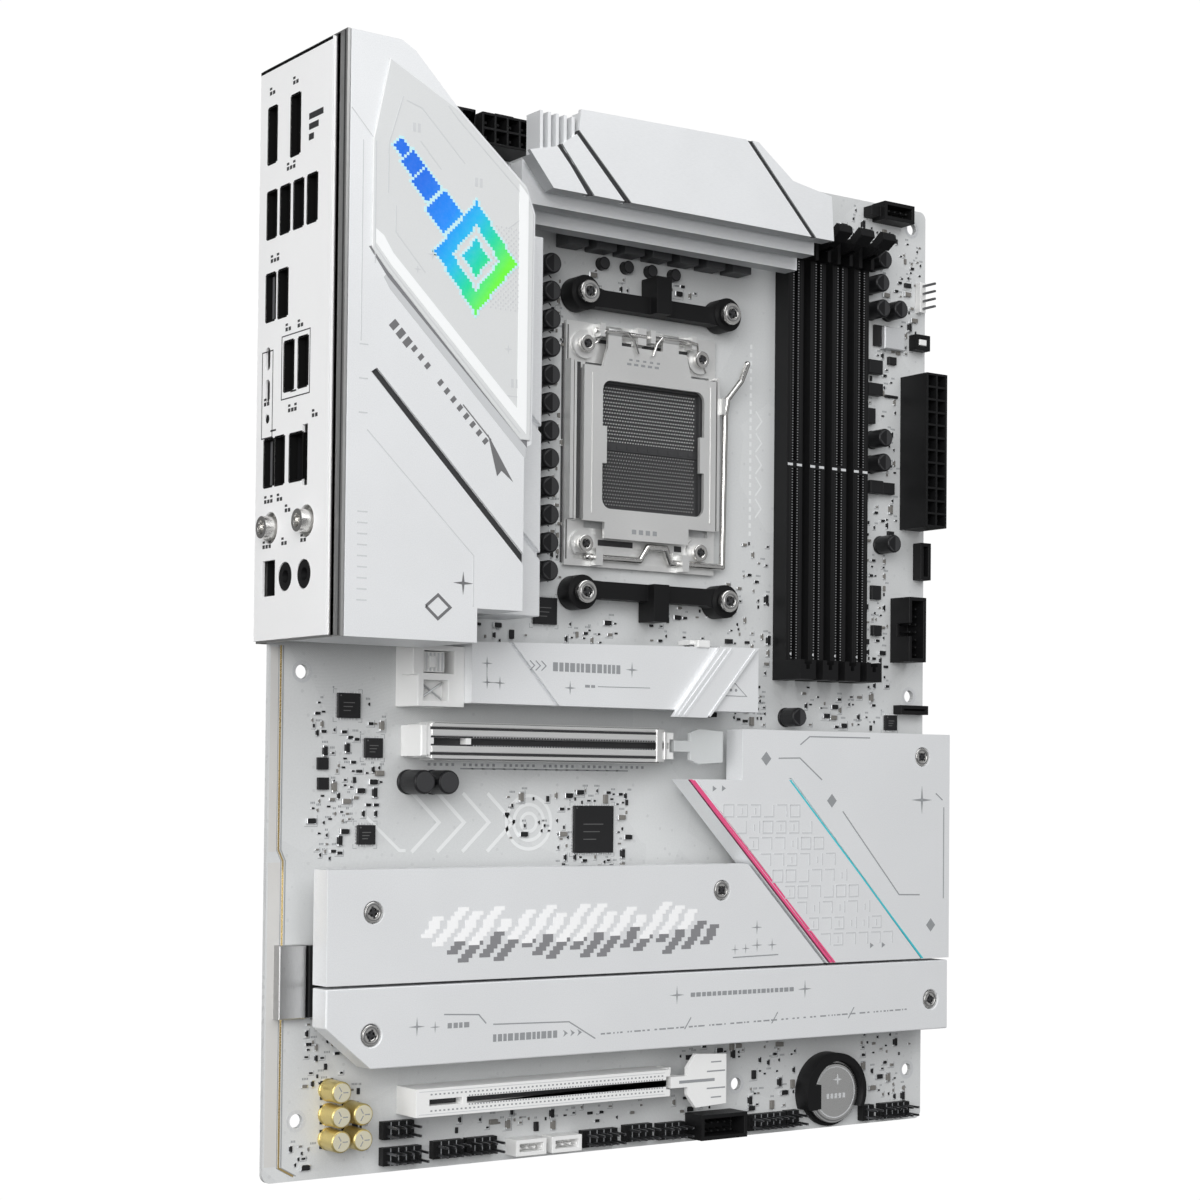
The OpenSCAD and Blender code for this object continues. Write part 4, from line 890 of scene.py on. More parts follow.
def buildCover():
    roundedCopy("io_cover", 0.35)
    roundedCopy("io_faceplate", 0.12)
    pale = bmesh.new()
    for points in coverPrint["lines"]:
        addStroke(pale, points, 0.3, coverTop)
    for x, y, w in coverPrint["ticks"]:
        addBlock(pale, x, y, coverTop, x + w, y + 0.35, coverTop + 0.05)
    pieceFrom(pale, "coverFineLines", printPale)
    grey = bmesh.new()
    # a slanted row of small dashes above the vent, then an arrowhead
    for k in range(coverPrint["dashes"]):
        x, y = 13.2 + 2.05 * k, 233.0 - 2.05 * k
        if k == 6:
            continue
        w = 1.8 if k < 3 else 1.2
        addSlab(grey, [(x, y), (x + w * 0.75, y - w * 0.75), (x - 0.3 * w, y - w * 1.8),
                       (x - 1.05 * w, y - 1.05 * w)],
                coverTop, coverTop + 0.05)
    addSlab(grey, [(42.5, 205.2), (50.8, 192.8), (47.0, 195.6), (45.6, 194.0)], coverTop, coverTop + 0.05)
    addStroke(grey, [(34.5, 212.4), (43.6, 203.6)], 0.35, coverTop)
    addPlus(grey, 35.2, 164.2, 3.2, 0.55, coverTop)
    addStroke(grey, [(23.6, 157.4), (27.4, 160.6), (31.2, 157.4), (27.4, 154.2), (23.6, 157.4)], 0.8,
              coverTop)
    pieceFrom(grey, "coverMarks", finish("markGrey", (0.16, 0.16, 0.165), 0.5, contrast=0.1))
    vent = bmesh.new()
    z = coverTop - 0.69
    addSlab(vent, [(6.6, 218.5), (8.0, 219.3), (54.3, 173.3), (54.3, 170.6)], z, z + 0.08)
    pieceFrom(vent, "coverVentFloor", darkInkAndShade)


windowPrint = {"cell": 0.8, "head": (37.8, 252.6),
               "rim": [(6.6, 279.2), (6.6, 251.4), (11.4, 246.0), (27.4, 230.6), (52.6, 206.4)]}


# smaller diamonds that climb away from the head: column, row, reach
glyphTrail = ((-12.6, 13.8, 7.4), (-19.6, 21.6, 5.8), (-25.2, 27.8, 4.4), (-29.4, 32.8, 3.2))


def glyphCell(u, v):
    # a plain string of diamonds, the largest one nested, on columns u and rows v
    head = abs(u) + 0.85 * abs(v)
    trail = any(abs(u - c) + abs(v - r) < reach for c, r, reach in glyphTrail)
    return 9.6 < head < 16.2 or head < 5.4 or trail


def glyphFinish():
    # colour runs from blue at the trail's end to green at the head
    material = emptyMaterial("litCells")
    tree = material.node_tree
    place = addNode(tree, "ShaderNodeTexCoord").outputs["Object"]
    apart = addNode(tree, "ShaderNodeSeparateXYZ", {0: place})
    left = at(14, 0).x
    run = mathOf(tree, "MULTIPLY", mathOf(tree, "SUBTRACT", apart.outputs[0], left), 0.72 / 0.038)
    fall = mathOf(tree, "MULTIPLY", mathOf(tree, "SUBTRACT", at(0, 268).y, apart.outputs[1]), 0.72 / 0.06)
    mixBy = mathOf(tree, "ADD", run, fall)
    ramp = addNode(tree, "ShaderNodeValToRGB", {0: mixBy})
    stops = ramp.color_ramp.elements
    stops[0].position, stops[0].color = 0.1, (0.0, 0.13, 0.68, 1)
    stops[1].position, stops[1].color = 0.84, (0.13, 0.8, 0.03, 1)
    for position, colour in ((0.36, (0.0, 0.22, 0.8, 1)), (0.52, (0.0, 0.42, 0.74, 1)),
                             (0.68, (0.0, 0.6, 0.3, 1))):
        stops.new(position).color = colour
    grainy = addNode(tree, "ShaderNodeTexNoise", {"Vector": place, "Scale": 900.0})
    shade = mixColour(tree, mathOf(tree, "MULTIPLY", grainy.outputs["Fac"], 0.05), ramp.outputs[0],
                      (1, 1, 1, 1))
    body = addNode(tree, "ShaderNodeBsdfPrincipled",
                   {"Base Color": shade, "Emission Color": shade, "Emission Strength": 0.16,
                    "Roughness": 0.55, "Specular IOR Level": 0.2})
    addNode(tree, "ShaderNodeOutputMaterial", {"Surface": body.outputs[0]})
    return material


def buildWindow():
    size = windowPrint["cell"]
    cx, cy = windowPrint["head"]
    # the print's own thickness comes off the window's top
    for vertex in roundedCopy("io_window", 0.25).data.vertices:
        if vertex.co.z > at(0, 0, windowTop - 0.3).z:
            vertex.co.z -= 0.1 * mm
    cell = unitShape("litCell", lambda bm: addBlock(bm, -size / 2, -size / 2, 0, size / 2, size / 2, 0.06))
    lit, halo, dots = [], [], []
    for u in range(-34, 20):
        for v in range(-20, 38):
            x, y = cx + u * size, cy + v * size
            if glyphCell(u, v):
                lit.append((x, y, windowTop + 0.02))
            elif any(glyphCell(u + du, v + dv) for du, dv in ((-1, 0), (1, 0), (0, -1), (0, 1))):
                halo.append((x, y, windowTop))
            elif u > 5 and -17 < v < 13 and (u + v) % 2 == 0 and x < 54:
                dots.append((x, y, windowTop, 0, (0.6, 0.6, 1)))
    onPlaces("windowGlyph", cell, lit, glyphFinish())
    onPlaces("windowGlow", cell, halo, finish("glowRim", (0.55, 0.82, 0.86), 0.5, contrast=0.05))
    onPlaces("windowDots", cell, dots, printPale)
    bpy.data.objects.remove(cell)
    bright = bmesh.new()
    # bright border along the slanted edge and up the right side, with a shade line beside it
    addSlab(bright, [(6.9, 252.3), (11.9, 246.7), (54.6, 206.2), (54.6, 272.0), (51.6, 275.0), (51.6, 213.0),
                     (12.2, 250.2), (9.2, 254.6), (6.9, 256.0)], windowTop, windowTop + 0.09)
    pieceFrom(bright, "windowBorder", finish("borderWhite", (0.9, 0.91, 0.91), 0.45, contrast=0.04))
    shades = bmesh.new()
    addSlab(shades, [(5.0, 251.2), (6.0, 251.4), (55.2, 204.9), (55.2, 202.6), (10.8, 243.8)], coverTop,
            coverTop + 0.05)
    pieceFrom(shades, "windowShade", finish("shadeGrey", (0.2, 0.2, 0.21), 0.6, contrast=0.1))
    soft = bmesh.new()
    addSlab(soft, [(9.6, 243.6), (10.6, 245.0), (54.8, 203.4), (54.8, 199.4), (11.6, 240.6)], coverTop,
            coverTop + 0.04)
    pieceFrom(soft, "windowSoftShade", finish("softShadeGrey", (0.55, 0.56, 0.57), 0.6, contrast=0.1))
    ink = bmesh.new()
    addStroke(ink, windowPrint["rim"], 0.3, windowTop)
    for points in ([(14.6, 292.5), (10.4, 279.0), (10.4, 266.0)],
                   [(15.6, 291.6), (20.4, 290.4), (34.0, 277.6)], [(20.0, 281.5), (26.6, 274.8)],
                   [(12.8, 263.0), (12.8, 256.0), (22.0, 246.4)], [(48.0, 262.0), (53.6, 266.4)],
                   [(24.0, 237.0), (33.6, 228.0), (46.6, 216.2), (53.2, 216.2)],
                   [(28.6, 292.4), (31.8, 289.2), (52.0, 272.6)]):
        addStroke(ink, points, 0.28, windowTop)
    for x, y in ((17.6, 284.6), (37.2, 273.0), (49.4, 219.6)):
        for k in range(2):
            addBlock(ink, x + 1.5 * k, y - 1.0, windowTop, x + 1.5 * k + 0.9, y + 1.4, windowTop + 0.05)
    for x, y, r in ((24.2, 251.6, 1.6), (19.6, 247.0, 1.1), (48.5, 229.0, 1.3)):
        addPlus(ink, x, y, r, 0.3, windowTop)
    pieceFrom(ink, "windowLines", printPale)


buildCover()
buildWindow()
print("port cover dressed")


# drive plates, chipset plate and their printed marks
plateTop = boxOf("m2_plate_upper")[5]
driveTop = boxOf("m2_heatsink_upper")[5] - 1.6
platePrint = {"ink": 0.05, "cell": 1.2, "band": (39.5, 65.0), "lean": 0.9, "shadow": (7, -4),
              "screws": [(26, 74.4), (148, 78.3), (25.7, 40.5), (235.2, 41), (231, 120.5)]}
# half-heights of the plain slanted bars on the long plate, in cells either side of the middle row
bandBars = (2, 4, 3, 4, 1, 3, 4, 2, 4, 4, 2, 3, 1, 4, 3, 2)


def buildBarBand():
    size = platePrint["cell"]
    x0, y0 = platePrint["band"]
    cell = unitShape("bandCell", lambda bm: addBlock(bm, -size / 2, -size / 2, 0, size / 2, size / 2, 0.05))
    bright = {(bar * 5 + column + round((row + 4) * platePrint["lean"]), row)
              for bar, reach in enumerate(bandBars) for row in range(-reach, reach + 1)
              for column in range(3)}
    columns, rows = platePrint["shadow"]
    deep = {(c + columns, r + rows) for c, r in bright} - bright
    bandGrey = finish("bandGrey", (0.24, 0.24, 0.25), 0.5, contrast=0.1)
    for name, cells, z, finishUsed in (("bandBright", bright, 0.02, printWhite),
                                       ("bandShadow", deep, 0.0, bandGrey)):
        onPlaces(name, cell, [(x0 + c * size, y0 + (r + 4) * size, plateTop + z) for c, r in sorted(cells)],
                 finishUsed)
    bpy.data.objects.remove(cell)


def addDashRow(bm, x0, x1, y, z, height, draw, slope=0.0, dots=False):
    # a row of plain bars and dots that stands in for small print
    x = x0
    while x < x1:
        w = draw.choice((0.5, 0.9, 1.5, 2.4)) if dots else draw.choice((1.1, 1.4, 1.7))
        lift = slope * (x - x0)
        addBlock(bm, x, y + lift, z, x + w, y + lift + height, z + platePrint["ink"])
        x += w + draw.choice((0.6, 0.9, 1.8) if dots else (0.45, 0.55))


def buildPlates():
    for node, width in (("m2_plate_upper", 0.35), ("m2_plate_lower", 0.35), ("chipset_heatsink", 0.35),
                        ("m2_heatsink_upper", 0.3), ("vrm_heatsink_top", 0.3), ("vrm_heatsink_left", 0.3),
                        ("m2_release_bracket", 0.25), ("led_board", 0.1)):
        piece = roundedCopy(node, width)
        if node == "vrm_heatsink_top":
            # the steps that face the socket lie in shade
            piece.data.materials.append(finish("sinkShade", (0.46, 0.47, 0.48), 0.5, 0.25, contrast=0.2))
            for face in piece.data.polygons:
                if face.normal.y < -0.6:
                    face.material_index = 1
    draw = random.Random(11)
    z = plateTop
    ink = bmesh.new()
    for x, y, r in ((40.2, 42.2, 2.7), (46.1, 41.8, 1.7), (131.0, 47.0, 2.8), (181.4, 46.7, 2.8),
                    (230.8, 106.4, 4.6), (153.2, 60.0, 1.6), (157.4, 60.2, 1.6), (161.9, 61.1, 2.2),
                    (167.9, 61.0, 2.0), (161.8, 66.6, 2.2)):
        addPlus(ink, x, y, r, r * 0.14, z)
    addDashRow(ink, 50.2, 57.6, 41.2, z, 1.5, draw)
    addDashRow(ink, 65.4, 87.4, 36.6, z, 2.1, draw)
    for k in range(3):
        x = 89.6 + 2.5 * k
        addSlab(ink, [(x, 36.7), (x + 1.6, 37.7), (x, 38.7), (x + 0.5, 37.7)], z, z + 0.05)
    addDashRow(ink, 136.2, 177.0, 46.2, z, 1.3, draw)
    addDashRow(ink, 103.0, 224.0, 36.6, z, 0.45, draw, 0.012, True)
    for x in (134.0, 168.0, 199.5):
        addStroke(ink, [(x, 36.6), (x + 2.4, 40.0)], 0.35, z)
    for points in ([(49.0, 45.2), (60.5, 44.6), (63.0, 42.0)], [(65.4, 41.6), (91.6, 41.0), (101.0, 35.6)],
                   [(152.4, 57.6), (170.4, 57.9)]):
        addStroke(ink, points, 0.35, z)
    for points in ([(170.0, 119.2), (178.6, 119.4), (187.8, 112.6)],
                   [(178.8, 123.6), (182.6, 126.2), (208.0, 126.3)],
                   [(196.6, 102.6), (221.0, 75.6), (230.0, 75.4)], [(240.6, 104.0), (240.6, 74.0)],
                   [(237.0, 108.6), (240.0, 106.4)]):
        addStroke(ink, points, 0.38, z)
    for x, y in ((165.0, 119.0), (192.0, 106.0), (235.0, 65.4)):
        addSlab(ink, [(x - 2.0, y), (x, y + 2.2), (x + 2.0, y), (x, y - 2.2)], z, z + 0.05)
    for x, y in ((144.0, 108.6), (147.6, 108.7), (208.6, 58.6), (213.6, 58.6)):
        addSlab(ink, [(x, y), (x + 1.5, y + 0.9), (x, y + 1.8)], z, z + 0.05)
    pieceFrom(ink, "plateMarks", greyInkAndShade)
    faint = bmesh.new()
    # a pale maze of short strokes on the slanted panel between the coloured lines
    for row in range(9):
        y = 104.6 - 5.1 * row
        start = 135.6 + (112.6 - y) * 0.965
        for column in range(6):
            x = start + 5.0 + 5.3 * column
            kind = draw.randrange(5)
            corners = [(x, y), (x + 3.9, y), (x + 3.9, y - 3.7), (x, y - 3.7), (x, y)]
            addStroke(faint, corners[kind % 2: 3 + kind % 3], 0.42, z)
            if kind > 2:
                addStroke(faint, [(x + 1.9, y - 1.0), (x + 1.9, y - 3.0)], 0.42, z)
    pieceFrom(faint, "panelMaze", printPale)
    pink, cyan = bmesh.new(), bmesh.new()
    for bm, x0, y0, x1, y1, w in ((pink, 136.7, 112.0, 193.7, 54.6, 0.8),
                                  (cyan, 174.7, 112.4, 231.5, 54.6, 0.75)):
        addSlab(bm, [(x0 - w / 2, y0), (x0 + w / 2, y0), (x1 + w / 2, y1), (x1 - w / 2, y1)], z - 0.45,
                z + 0.04)
    addSlab(pink, [(135.0, 112.24), (136.1, 112.24), (192.8, 54.6), (191.7, 54.6)], z, z + 0.05)
    pieceFrom(pink, "pinkLine", pinkLine)
    pieceFrom(cyan, "cyanLine", cyanLine)
    maroon = bmesh.new()
    addSlab(maroon, [(134.4, 112.18), (135.0, 112.18), (191.7, 54.6), (190.9, 54.6)], z, z + 0.045)
    pieceFrom(maroon, "maroonEdge", finish("maroonEdge", (0.13, 0.02, 0.05), 0.4, contrast=0.1))


def buildDriveSink():
    z = driveTop
    draw = random.Random(17)
    ink = bmesh.new()
    for x, y, r in ((60.4, 144.6, 1.9), (60.5, 139.2, 1.9), (64.8, 139.1, 1.9), (111.3, 144.6, 2.3),
                    (89.1, 138.5, 2.1)):
        addPlus(ink, x, y, r, r * 0.16, z)
    addStroke(ink, [(60.4, 144.0), (60.4, 139.2), (65.0, 139.2)], 0.16, z)
    for k in range(3):
        x = 75.0 + 2.0 * k
        addStroke(ink, [(x, 146.0), (x + 1.6, 144.6), (x, 143.2)], 0.3, z)
    addDashRow(ink, 83.0, 106.5, 143.2, z, 2.6, draw)
    addDashRow(ink, 94.4, 97.6, 138.8, z, 0.8, draw)
    addStroke(ink, [(99.0, 139.2), (118.0, 139.4)], 0.22, z)
    addStroke(ink, [(146.6, 142.2), (150.0, 142.2), (155.0, 138.0), (146.0, 138.0)], 0.28, z)
    for k in range(3):
        addPost(ink, 146.8 + 2.0 * k, 139.8, z, z + 0.05, 0.5, 8)
    pieceFrom(ink, "driveSinkMarks", greyInkAndShade)
    ribs = bmesh.new()
    strap = z + 1.6
    for o in (1.2, 3.4, 12.6):
        addStroke(ribs, [(126.6 + o, 131.5), (144.4 + o, 152.2)], 0.8, strap, 0.3)
    pieceFrom(ribs, "strapRibs", finishes["white_metal"])
    clip = bmesh.new()
    addBlock(clip, 134.0, 153.2, 9.0, 141.6, 154.6, 15.4, 0.2)
    addBlock(clip, 135.4, 152.3, 15.4, 140.2, 154.6, 17.2, 0.3)
    pieceFrom(clip, "strapClip", finishes["white_plastic"])
    # hatched spring and crossed wire in the release's two windows
    hatch = bmesh.new()
    for k in range(5):
        addStroke(hatch, [(43.4 + 1.3 * k, 142.0), (43.4 + 1.3 * k, 147.2)], 0.45, 11.4, 0.25)
    pieceFrom(hatch, "releaseGrip", printPale, "release_slider")
    cross = bmesh.new()
    addTube(cross, [(42.6, 134.2, 9.6), (49.4, 138.8, 9.9)], 0.35)
    addTube(cross, [(42.6, 138.8, 9.6), (49.4, 134.2, 9.7)], 0.35)
    pieceFrom(cross, "releaseSpring", tinPlate)


def buildScrewRecesses():
    # a dark cross in every plate, bracket and frame screw, painted as the shade in its recess, and round the
    # plate and bracket screws a darker steel ring, painted as the shade round the head
    def crossShape(bm):
        addPost(bm, 0, 0, 0.0, 0.05, 1.02, 16)
        addBlock(bm, -0.35, -1.75, 0.3, 0.35, 1.75, 0.86)
        addBlock(bm, -1.75, -0.35, 0.3, 1.75, 0.35, 0.859)

    def rimShape(bm):
        addPost(bm, 0, 0, 0.0, 0.22, 2.45, 28, 2.05)
    cross, rim = unitShape("screwCross", crossShape), unitShape("screwRim", rimShape)
    low = [(x, y, plateTop - 1.05, 12 + 31 * i) for i, (x, y) in enumerate(platePrint["screws"])]
    high = [(x, y, 8.2, 20 + 17 * i) for i, (x, y) in enumerate(((100.24, 167.87), (154.24, 167.87),
                                                                 (100.24, 257.87), (154.24, 257.87)))]
    small = [(x, y, 3.6, 40 + 23 * i, (0.8, 0.8, 0.82)) for i, (x, y) in enumerate(
        ((102.8, 182.8), (102.8, 243.2), (146.2, 182.8), (146.2, 243.2)))]
    onPlaces("screwCrosses", cross, low + high + small, darkInkAndShade)
    onPlaces("screwRims", rim, [(x, y, z + 0.82, a) for x, y, z, a, *_ in low + high],
             finish("rimShadeSteel", (0.42, 0.42, 0.42), 0.35, 1.0, contrast=0.2))
    for shape in (cross, rim):
        bpy.data.objects.remove(shape)


buildBarBand()
buildPlates()
buildDriveSink()
buildScrewRecesses()
print("plates dressed")


# processor socket: contact field with painted light and shade, frame lines of painted shade, spring wire
socketSetup = {"field": (109.6, 195.4, 144.6, 230.9), "pitch": 1.0, "split": (211.9, 214.3), "floor": 1.8}


def buildSocket():
    x0, y0, x1, y1 = socketSetup["field"]
    pitch, floor = socketSetup["pitch"], socketSetup["floor"]
    ya, yb = socketSetup["split"]

    def leaf(bm):
        # one bent contact: a foot and a raised tip
        ring = [(-0.14, -0.17), (0.14, -0.17), (0.14, 0.17), (-0.14, 0.17)]
        loops = [[bm.verts.new(at(x * s + dx, y * s, z)) for x, y in ring]
                 for z, s, dx in ((0.0, 1.0, 0.0), (0.2, 0.95, -0.05), (0.4, 0.85, -0.12))]
        joinLoops(bm, loops)
    contact = unitShape("contactLeaf", leaf)
    columns = int((x1 - x0) / pitch) + 1
    # painted light and shade: one contact metal in two copies, a dark one as shade over the low-y half of the
    # field and a bright one as lit over the high-y half
    for name, box, metal in (("contactsLow", (x0, y0, x1, ya - 0.5), (0.46, 0.46, 0.45)),
                             ("contactsHigh", (x0, yb + 0.5, x1, y1), (0.88, 0.88, 0.87))):
        rows = int((box[3] - box[1]) / pitch / 2)
        metalFinish = finish(name, metal, 0.5, 0.3, contrast=0.3)
        for part, dx, dy in (("A", 0.0, 0.0), ("B", pitch / 2, pitch)):
            low, high = (box[0] + dx, box[1] + dy), (box[2] - pitch / 2 + dx, box[3] - pitch + dy)
            field(name + part, contact, columns, rows, (*low, *high), floor, metalFinish)
    bpy.data.objects.remove(contact)
    bed = bmesh.new()
    addBlock(bed, x0 - 1.2, ya, floor, x1 + 1.2, yb, floor + 0.45, 0.1)
    for k in range(9):
        addBlock(bed, x0 + 1.4 + 3.9 * k, ya + 0.7, floor + 0.45, x0 + 3.0 + 3.9 * k, yb - 0.7, floor + 0.7)
    # dark lip round the well
    for a, b, c, d in ((107.2, 193.1, 147.0, 194.4), (107.2, 231.9, 147.0, 233.1),
                       (107.2, 193.1, 108.5, 233.1), (145.7, 193.1, 147.0, 233.1)):
        addBlock(bed, a, b, floor, c, d, 3.2)
    pieceFrom(bed, "socketBed", finishes["socket_plastic"])
    roundedCopy("load_plate", 0.25)
    roundedCopy("cooler_bracket_upper", 0.6, 3)
    roundedCopy("cooler_bracket_lower", 0.6, 3)
    # embossed ribs and a small stamped bar pattern on the plate's nose and heel
    stamp = bmesh.new()
    plateSkin = 5.1
    for k in range(4):
        addBlock(stamp, 119.0 + 2.6 * k, 186.6, plateSkin, 120.6 + 2.6 * k, 188.0, plateSkin + 0.04)
    for k in range(5):
        addBlock(stamp, 116.6 + 2.6 * k, 238.0, plateSkin, 118.2 + 2.6 * k, 238.7, plateSkin + 0.04)
        addBlock(stamp, 117.4 + 2.6 * k, 239.4, plateSkin, 118.6 + 2.6 * k, 240.0, plateSkin + 0.04)
    pieceFrom(stamp, "plateStamp", greyInkAndShade, "load_plate")
    ribs = bmesh.new()
    # long raised ribs beside the window of the plate
    for points in ([(104.2, 192.0), (104.2, 234.6)], [(149.0, 192.0), (149.0, 234.6)]):
        addStroke(ribs, points, 0.5, plateSkin, 0.18)
    pieceFrom(ribs, "plateRibs", finishes["steel"], "load_plate")
    # painted shade: dark strips in the gaps beside the plate, a painted shadow line on the board beside the
    # frame, and painted shadows on the frame under the plate's nose and heel
    shadeStrips = bmesh.new()
    for x, wide, high in ((97.82, 0.76, 3.1), (99.45, 1.35, 3.3), (151.15, 0.95, 3.0)):
        addBlock(shadeStrips, x, 190.4, 1.6, x + wide, 237.4, high)
    addBlock(shadeStrips, 96.05, 177.0, 0.0, 96.55, 249.0, 0.3)
    for a, b, c, d in ((108.8, 182.7, 121.8, 184.5), (137.6, 182.7, 140.4, 184.5),
                       (100.0, 244.2, 120.6, 245.4), (124.6, 244.2, 148.0, 245.4)):
        addBlock(shadeStrips, a, b, 1.6, c, d, 1.64)
    addBlock(shadeStrips, 97.0, 178.0, 1.6, 97.4, 189.8, 1.64)
    addBlock(shadeStrips, 97.0, 238.2, 1.6, 97.4, 248.6, 1.64)
    addBlock(shadeStrips, 151.6, 191.0, 1.6, 151.9, 237.0, 1.64)
    pieceFrom(shadeStrips, "frameGaps", darkInkAndShade)
    spring = bmesh.new()
    # spring wire that lies along the hinge with a loop on each side of the tongue
    addTube(spring, [(104.6, 242.6, 2.5), (107.0, 244.4, 3.2), (108.4, 247.2, 5.9), (116.2, 247.6, 6.1),
                     (118.6, 245.4, 6.0), (120.2, 241.6, 5.9)], 0.4)
    addTube(spring, [(148.6, 239.4, 2.4), (145.4, 244.6, 3.0), (142.6, 247.2, 6.0), (139.0, 247.8, 6.2),
                     (129.0, 247.6, 6.1), (127.2, 245.4, 6.0), (125.8, 241.6, 5.9)], 0.4)
    pieceFrom(spring, "hingeSpring", finishes["nickel"])


buildSocket()
print("socket dressed")


# memory slots, expansion slots and latches
dimmPlaces = [(boxOf(f"dimm_slot_{i}")[0] + boxOf(f"dimm_slot_{i}")[3]) / 2 for i in range(1, 5)]
slotPlaces = [(boxOf(n)[1] + boxOf(n)[4]) / 2 for n in ("pcie_slot_upper", "pcie_slot_lower")]
slotBox = boxOf("pcie_slot_upper")
slotPrint = {"x0": slotBox[0], "length": slotBox[3] - 4 - slotBox[0], "top": 11.0, "contacts": 72}


def buildMemorySlots():
    for i in range(1, 5):
        roundedCopy(f"dimm_slot_{i}", 0.25)
        roundedCopy(f"dimm_latch_{i}", 0.25)
    seam = bmesh.new()
    key = bmesh.new()
    for x in dimmPlaces:
        for s in (-1, 1):
            addBlock(seam, x + s * 2.1 - 0.12, 151.0, 6.6, x + s * 2.1 + 0.12, 279.0, 6.66)
        addBlock(key, x - 2.9, 212.9, 6.6, x - 0.85, 213.7, 6.68)
        addBlock(key, x + 0.85, 212.9, 6.6, x + 2.9, 213.7, 6.68)
        addBlock(key, x - 1.5, 152.4, 6.6, x - 0.9, 153.0, 6.68)
    pieceFrom(seam, "dimmSeams", finish("seamBlack", (0.004, 0.004, 0.004), 0.6))
    pieceFrom(key, "dimmKeyMarks", printPale)
    contact = unitShape("dimmContact", lambda bm: addBlock(bm, -0.24, -0.13, 0, 0.24, 0.13, 0.12))
    low = {"a": (147.9, 211.9, 74), "b": (214.9, 278.7, 74)}
    for side, (ya, yb, rows) in low.items():
        for k, x in enumerate(dimmPlaces):
            field(f"dimmContacts{k + 1}{side}", contact, 2, rows, (x - 1.02, ya, x + 1.02, yb), 6.56,
                  tinPlate)
    bpy.data.objects.remove(contact)
    # thumb ribs on every latch head
    for k, x in enumerate(dimmPlaces):
        bm = bmesh.new()
        for j in range(3):
            addBlock(bm, x - 2.2, 287.0 + 0.85 * j, 19.2 - 0.05 * j, x + 2.2, 287.35 + 0.85 * j,
                     20.1 - 0.25 * j)
        pieceFrom(bm, f"latchRibs{k + 1}", finishes["black_plastic"], f"dimm_latch_{k + 1}")


